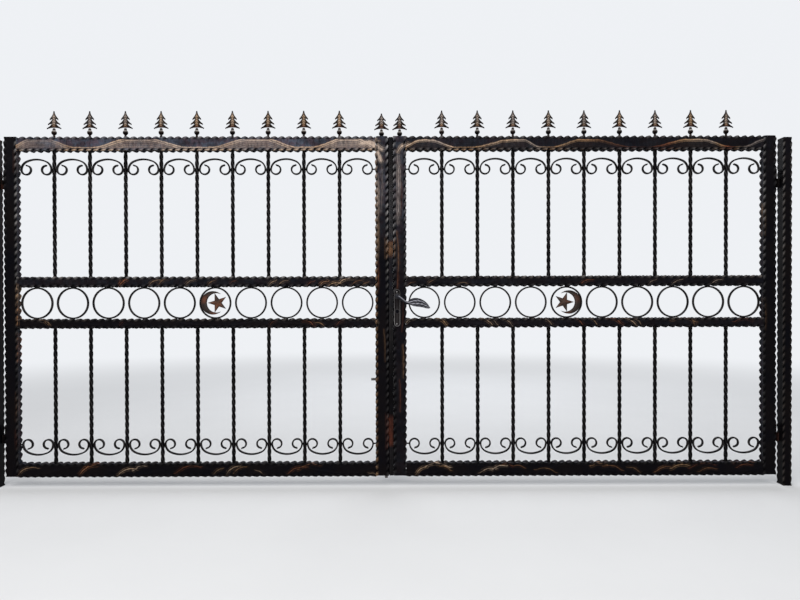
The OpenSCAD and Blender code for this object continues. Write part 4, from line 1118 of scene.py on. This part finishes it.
def make_plates():
    """Lock plates with a raised rim, screws and the collars of the cylinder and the lever."""
    shape = Shape()
    middle_z = PLATE_MID_Z + 2.0
    # Steps of the rim from the plate's edge inwards: inset, height and painted highlight; steps without
    # highlight get painted shade
    steps = [(0.0, 0.2, 0.0), (0.0, 2.4, 0.2), (0.5, 3.4, 0.8), (1.5, 3.9, 1.0), (2.8, 3.9, 0.6),
             (3.8, 2.9, 0.0), (5.0, 2.6, 0.0), (8.5, 2.8, 0.06), (12.0, 3.0, 0.10), (14.4, 3.0, 0.10)]
    screw = [(0.0, 3.4), (0.6, 3.4), (1.1, 2.6), (1.35, 0.4)]
    # Screws and collars: x, height out of the face, z, profile, places round and painted highlight.
    turned = (
        (LOCK_X - 2.0, 2.6, middle_z - 74.0, screw, 14, 1.0),
        (LOCK_X - 2.0, 2.6, middle_z + 74.0, screw, 14, 1.0),
        (LOCK_X, 2.4, LEVER_Z - 70, [(0.0, 12.2), (1.2, 12.0), (1.6, 10.4), (1.5, 8.2)], 24, 0.15),
        (LOCK_X, 2.4, LEVER_Z, [(0.0, 13.4), (1.2, 13.2), (1.6, 11.6), (1.5, 8.4)], 24, 0.25),
    )
    for face in (-1, 1):
        rings, forms = [], []
        for inset, out, level in steps:
            line = stadium(14.2 - inset, 86.0 - inset)
            # Painted shade in the groove of the rim, and a painted highlight on the rim, strongest at the
            # plate's lower end.
            dark = 0.6 if level == 0.0 else 0.0
            rings.append([(LOCK_X + x, face * (TUBE_D / 2 + out), middle_z + z) for x, z in line])
            forms += [(level * (0.9 if z < -66 else 0.3), dark, 0.5, 0) for x, z in line]
        shape.grid(np.array(rings), None, forms, flip=face > 0)
        for x, out, z, profile, places, crest in turned:
            lathe(shape, (x, face * (TUBE_D / 2 + out), z), [(face * t, r) for t, r in profile], axis=1,
                  places=places, crest=crest)
    piece("lock_plate_pair", shape, "right_leaf", PLATE_PAINT, ["lock_plates"])


def through(line, t):
    """A smooth curve through points, at t from 0 to the last index."""
    last = len(line) - 1
    i = min(int(math.floor(t)), last - 1)
    f = t - i
    a, b, c, d = line[max(i - 1, 0)], line[i], line[i + 1], line[min(i + 2, last)]
    return b + f * (c - a + f * (2 * a - 5 * b + 4 * c - d + f * (3 * b - a - 3 * c + d))) / 2


# Edges of the lever from its pivot. The visible blade is raised, in full from its neck on.
UPPER_EDGE = [(0, 9), (13, -3), (25, -17), (38, -30), (51, -34), (61, -25), (79, -19), (99, -20),
              (120, -29), (138, -44), (150, -62)]
LOWER_EDGE = [(0, -9), (13, -21), (27, -36), (44, -47), (60, -50), (76, -56), (97, -59), (118, -62),
              (132, -66), (143, -67), (151, -65)]
LIFT = 10.0
NECK = 30.0


def raised(edge):
    """The points of one edge of the lever, raised."""
    return [np.array((x, z + LIFT * min(1.0, x / NECK))) for x, z in edge]


def blade(shape, face):
    """One cast lever from its hub to its leaf shaped tip, in front or behind."""
    upper, lower = raised(UPPER_EDGE), raised(LOWER_EDGE)
    steps = 6
    last = len(upper) - 1
    shares = np.linspace(0, 1, 11)
    rings, forms = [], []
    for k in range(last * steps + 1):
        t = k / steps
        top, foot = through(upper, t), through(lower, t)
        leafy = np.clip((t - 3.6) / 1.6, 0.0, 1.0) * np.clip(last - t + 0.15, 0.0, 1.0)
        half = 5.2 - 1.1 * leafy - 1.8 * max(0.0, t - last + 1.5) / 1.5
        ring = []
        for out in (1, -1):
            for s in (shares if out > 0 else shares[::-1][1:-1]):
                crown = math.sqrt(max(0.0, 1 - (2 * s - 1) ** 2)) ** (1.0 - 0.35 * leafy)
                rib = math.cos(2 * math.pi * (3.0 * s + 0.02 * t))
                reach = half * crown * (1 - 0.26 * leafy * (0.5 - 0.5 * rib) * 2 * crown)
                p = top + (foot - top) * s
                ring.append((LOCK_X + p[0], face * (56.5 + out * reach * 1.04), LEVER_Z + p[1]))
                # Painted highlights on the leaf's rib crowns and a painted glint along the neck; painted
                # shade between the ribs, in feather marks and along the rims.
                feather = 0.5 + 0.5 * math.cos(2 * math.pi * (t + 1.5 * abs(2 * s - 1)))
                glint = math.exp(-((s - 0.22) / 0.13) ** 2)
                rim = abs(2 * s - 1) ** 8
                forms.append((0.03 + 0.9 * leafy * (0.5 + 0.5 * rib) ** 2 + 0.5 * glint * (1 - leafy),
                              leafy * ((0.5 - 0.5 * rib) ** 2 + 1.1 * feather - 0.35) + 1.1 * rim, 0, 0))
        rings.append(ring)
    shape.grid(np.array(rings), None, np.clip(forms, 0, 1), flip=face > 0)


def make_lever():
    """The pair of cast lever handles on their spindle."""
    shape = Shape()
    for face in (-1, 1):
        blade(shape, face)
    half = [(0.0, 7.9), (20.0, 7.9), (24.3, 7.9), (24.4, 10.4), (26.0, 11.2), (28.5, 10.0), (30.0, 8.0),
            (40.0, 6.9), (48.0, 7.6), (50.5, 9.4), (53.0, 10.8), (57.0, 11.0), (59.4, 9.6), (61.2, 6.4),
            (61.9, 2.6), (62.0, 0.3)]
    profile = [(-t, r) for t, r in half[:0:-1]] + half
    lathe(shape, (LOCK_X, 0, LEVER_Z), profile, axis=1, places=28, crest=0.04)
    piece("lever_handle_pair", shape, "levers", LEVER_METAL, ["lever_handles"], smooth=50.0)


def dress_frame_nodes():
    """Finishes of the CAD pieces that are shown as they are."""
    finish = {
        "left_hinge_pins": HINGE_PAINT, "right_hinge_pins": HINGE_PAINT,
        "left_hinge_barrels": HINGE_PAINT, "right_hinge_barrels": HINGE_PAINT,
        "drop_bolt_guides": HINGE_PAINT, "drop_bolt": BOLT_METAL, "lock_cylinder": LEVER_METAL,
    }
    for name, material in finish.items():
        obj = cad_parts[name]
        obj.data.materials.clear()
        obj.data.materials.append(material)
        soft = obj.modifiers.new("eased_edges", "BEVEL")
        soft.width = 0.0007
        soft.segments = 2
        soft.limit_method = "ANGLE"
        soft.angle_limit = math.radians(35)


def make_hinge_welds():
    """Beads of weld round the hinge blocks and straps."""
    bead = [(-20, 0.8), (-18, 1.9), (-9, 1.6), (0, 2.0), (9, 1.6), (18, 1.9), (20, 0.8)]
    for side, (label, way) in enumerate((("left", 1), ("right", -1))):
        posts, leaf = Shape(), Shape()
        face = GATE_W * side + way * POST_W / 2
        for z in HINGE_LEVELS:
            for dy in (-6.2, 6.2):
                lathe(posts, (face + way * 1.2, 15.0 + dy, z - 21), bead, places=10, crest=0.12)
            lathe(leaf, (across(side, 0.0) - way * 1.0, 16.2, z + 21.3), bead, places=10, crest=0.12)
        piece(f"{label}_pin_welds", posts, "posts", HINGE_PAINT, [])
        piece(f"{label}_barrel_welds", leaf, f"{label}_leaf", HINGE_PAINT, [])


SKY = (0.86, 0.88, 0.91, 1.0)
# Middle of the gate along X, and how far the floor reaches, in metres
MIDDLE = 1.83
FAR = 120.0


def make_world(scene):
    """A pale background for the camera and reflections, and a softer ambient light."""
    world = bpy.data.worlds.new("studio")
    scene.world = world
    world.use_nodes = True
    world.node_tree.nodes.clear()
    g = Graph(world.node_tree)
    backdrop = g.node("ShaderNodeBackground", {"Color": SKY, "Strength": 1.0})
    ambient = g.node("ShaderNodeBackground", {"Color": (0.95, 0.97, 1.0, 1.0), "Strength": 0.5})
    both = g.node("ShaderNodeMixShader", {0: g.seen(), 1: ambient.outputs[0], 2: backdrop.outputs[0]})
    g.node("ShaderNodeOutputWorld", {"Surface": both.outputs[0]})


def make_floor(scene):
    """A wide pale floor that fades into the background."""
    mesh = bpy.data.meshes.new("floor")
    mesh.from_pydata([(-FAR, -FAR, 0), (FAR, -FAR, 0), (FAR, FAR, 0), (-FAR, FAR, 0)], [], [(0, 1, 2, 3)])
    floor = bpy.data.objects.new("floor", mesh)
    scene.collection.objects.link(floor)
    floor.location = (MIDDLE, 0.0, 0.0)
    material, g, shader, place = start_material("pale_floor")
    mesh.materials.append(material)
    cloud = g.grain(place, 1.3, 4.0, 0.55)
    g.feed(shader["Base Color"], g.mixed(cloud, (0.70, 0.705, 0.715), (0.76, 0.765, 0.775)))
    shader["Roughness"].default_value = 0.95
    shader["Specular IOR Level"].default_value = 0.0
    away = g.node("ShaderNodeVectorMath", {0: place}, operation="LENGTH").outputs["Value"]
    fade = g.times(g.ranged(away, 2.6, 8.0), g.seen())
    sky = g.node("ShaderNodeEmission", {"Color": SKY, "Strength": 1.0}).outputs[0]
    nodes = g.tree.nodes
    both = g.node("ShaderNodeMixShader", {0: fade, 1: nodes["Principled BSDF"].outputs[0], 2: sky})
    g.feed(nodes["Material Output"].inputs["Surface"], both.outputs[0])


def make_lights(scene):
    """Two large soft lights, from the front and the back."""
    middle = Vector((MIDDLE, 0.0, 0.85))
    for name, spot, size, power, colour in (
        ("soft_front", (1.4, -3.2, 4.6), 5.0, 235.0, (1.0, 0.985, 0.96)),
        ("soft_back", (2.4, 3.6, 3.6), 4.0, 90.0, (0.93, 0.96, 1.0)),
    ):
        data = bpy.data.lights.new(name, "AREA")
        data.shape = "SQUARE"
        data.size = size
        data.energy = power
        data.color = colour
        lamp = bpy.data.objects.new(name, data)
        scene.collection.objects.link(lamp)
        lamp.location = spot
        lamp.rotation_euler = (middle - Vector(spot)).to_track_quat("-Z", "Y").to_euler()


def make_camera(scene):
    """The camera, at the height of the photo's and as far away."""
    data = bpy.data.cameras.new("view")
    data.lens = 30.62
    data.sensor_width = 36.0
    data.clip_end = 400.0
    camera = bpy.data.objects.new("view", data)
    scene.collection.objects.link(camera)
    camera.location = (1.8625, -3.16, 0.8860)
    camera.rotation_euler = (math.radians(89.575), math.radians(0.147), math.radians(-0.172))
    scene.camera = camera
    scene.view_settings.view_transform = "Standard"


make_stiles()
make_rails()
make_posts()
make_bars()
make_scrolls()
make_rings()
make_crest()
make_finials()
make_strip()
make_plates()
make_lever()
dress_frame_nodes()
make_hinge_welds()
make_world(bpy.context.scene)
make_floor(bpy.context.scene)
make_lights(bpy.context.scene)
make_camera(bpy.context.scene)
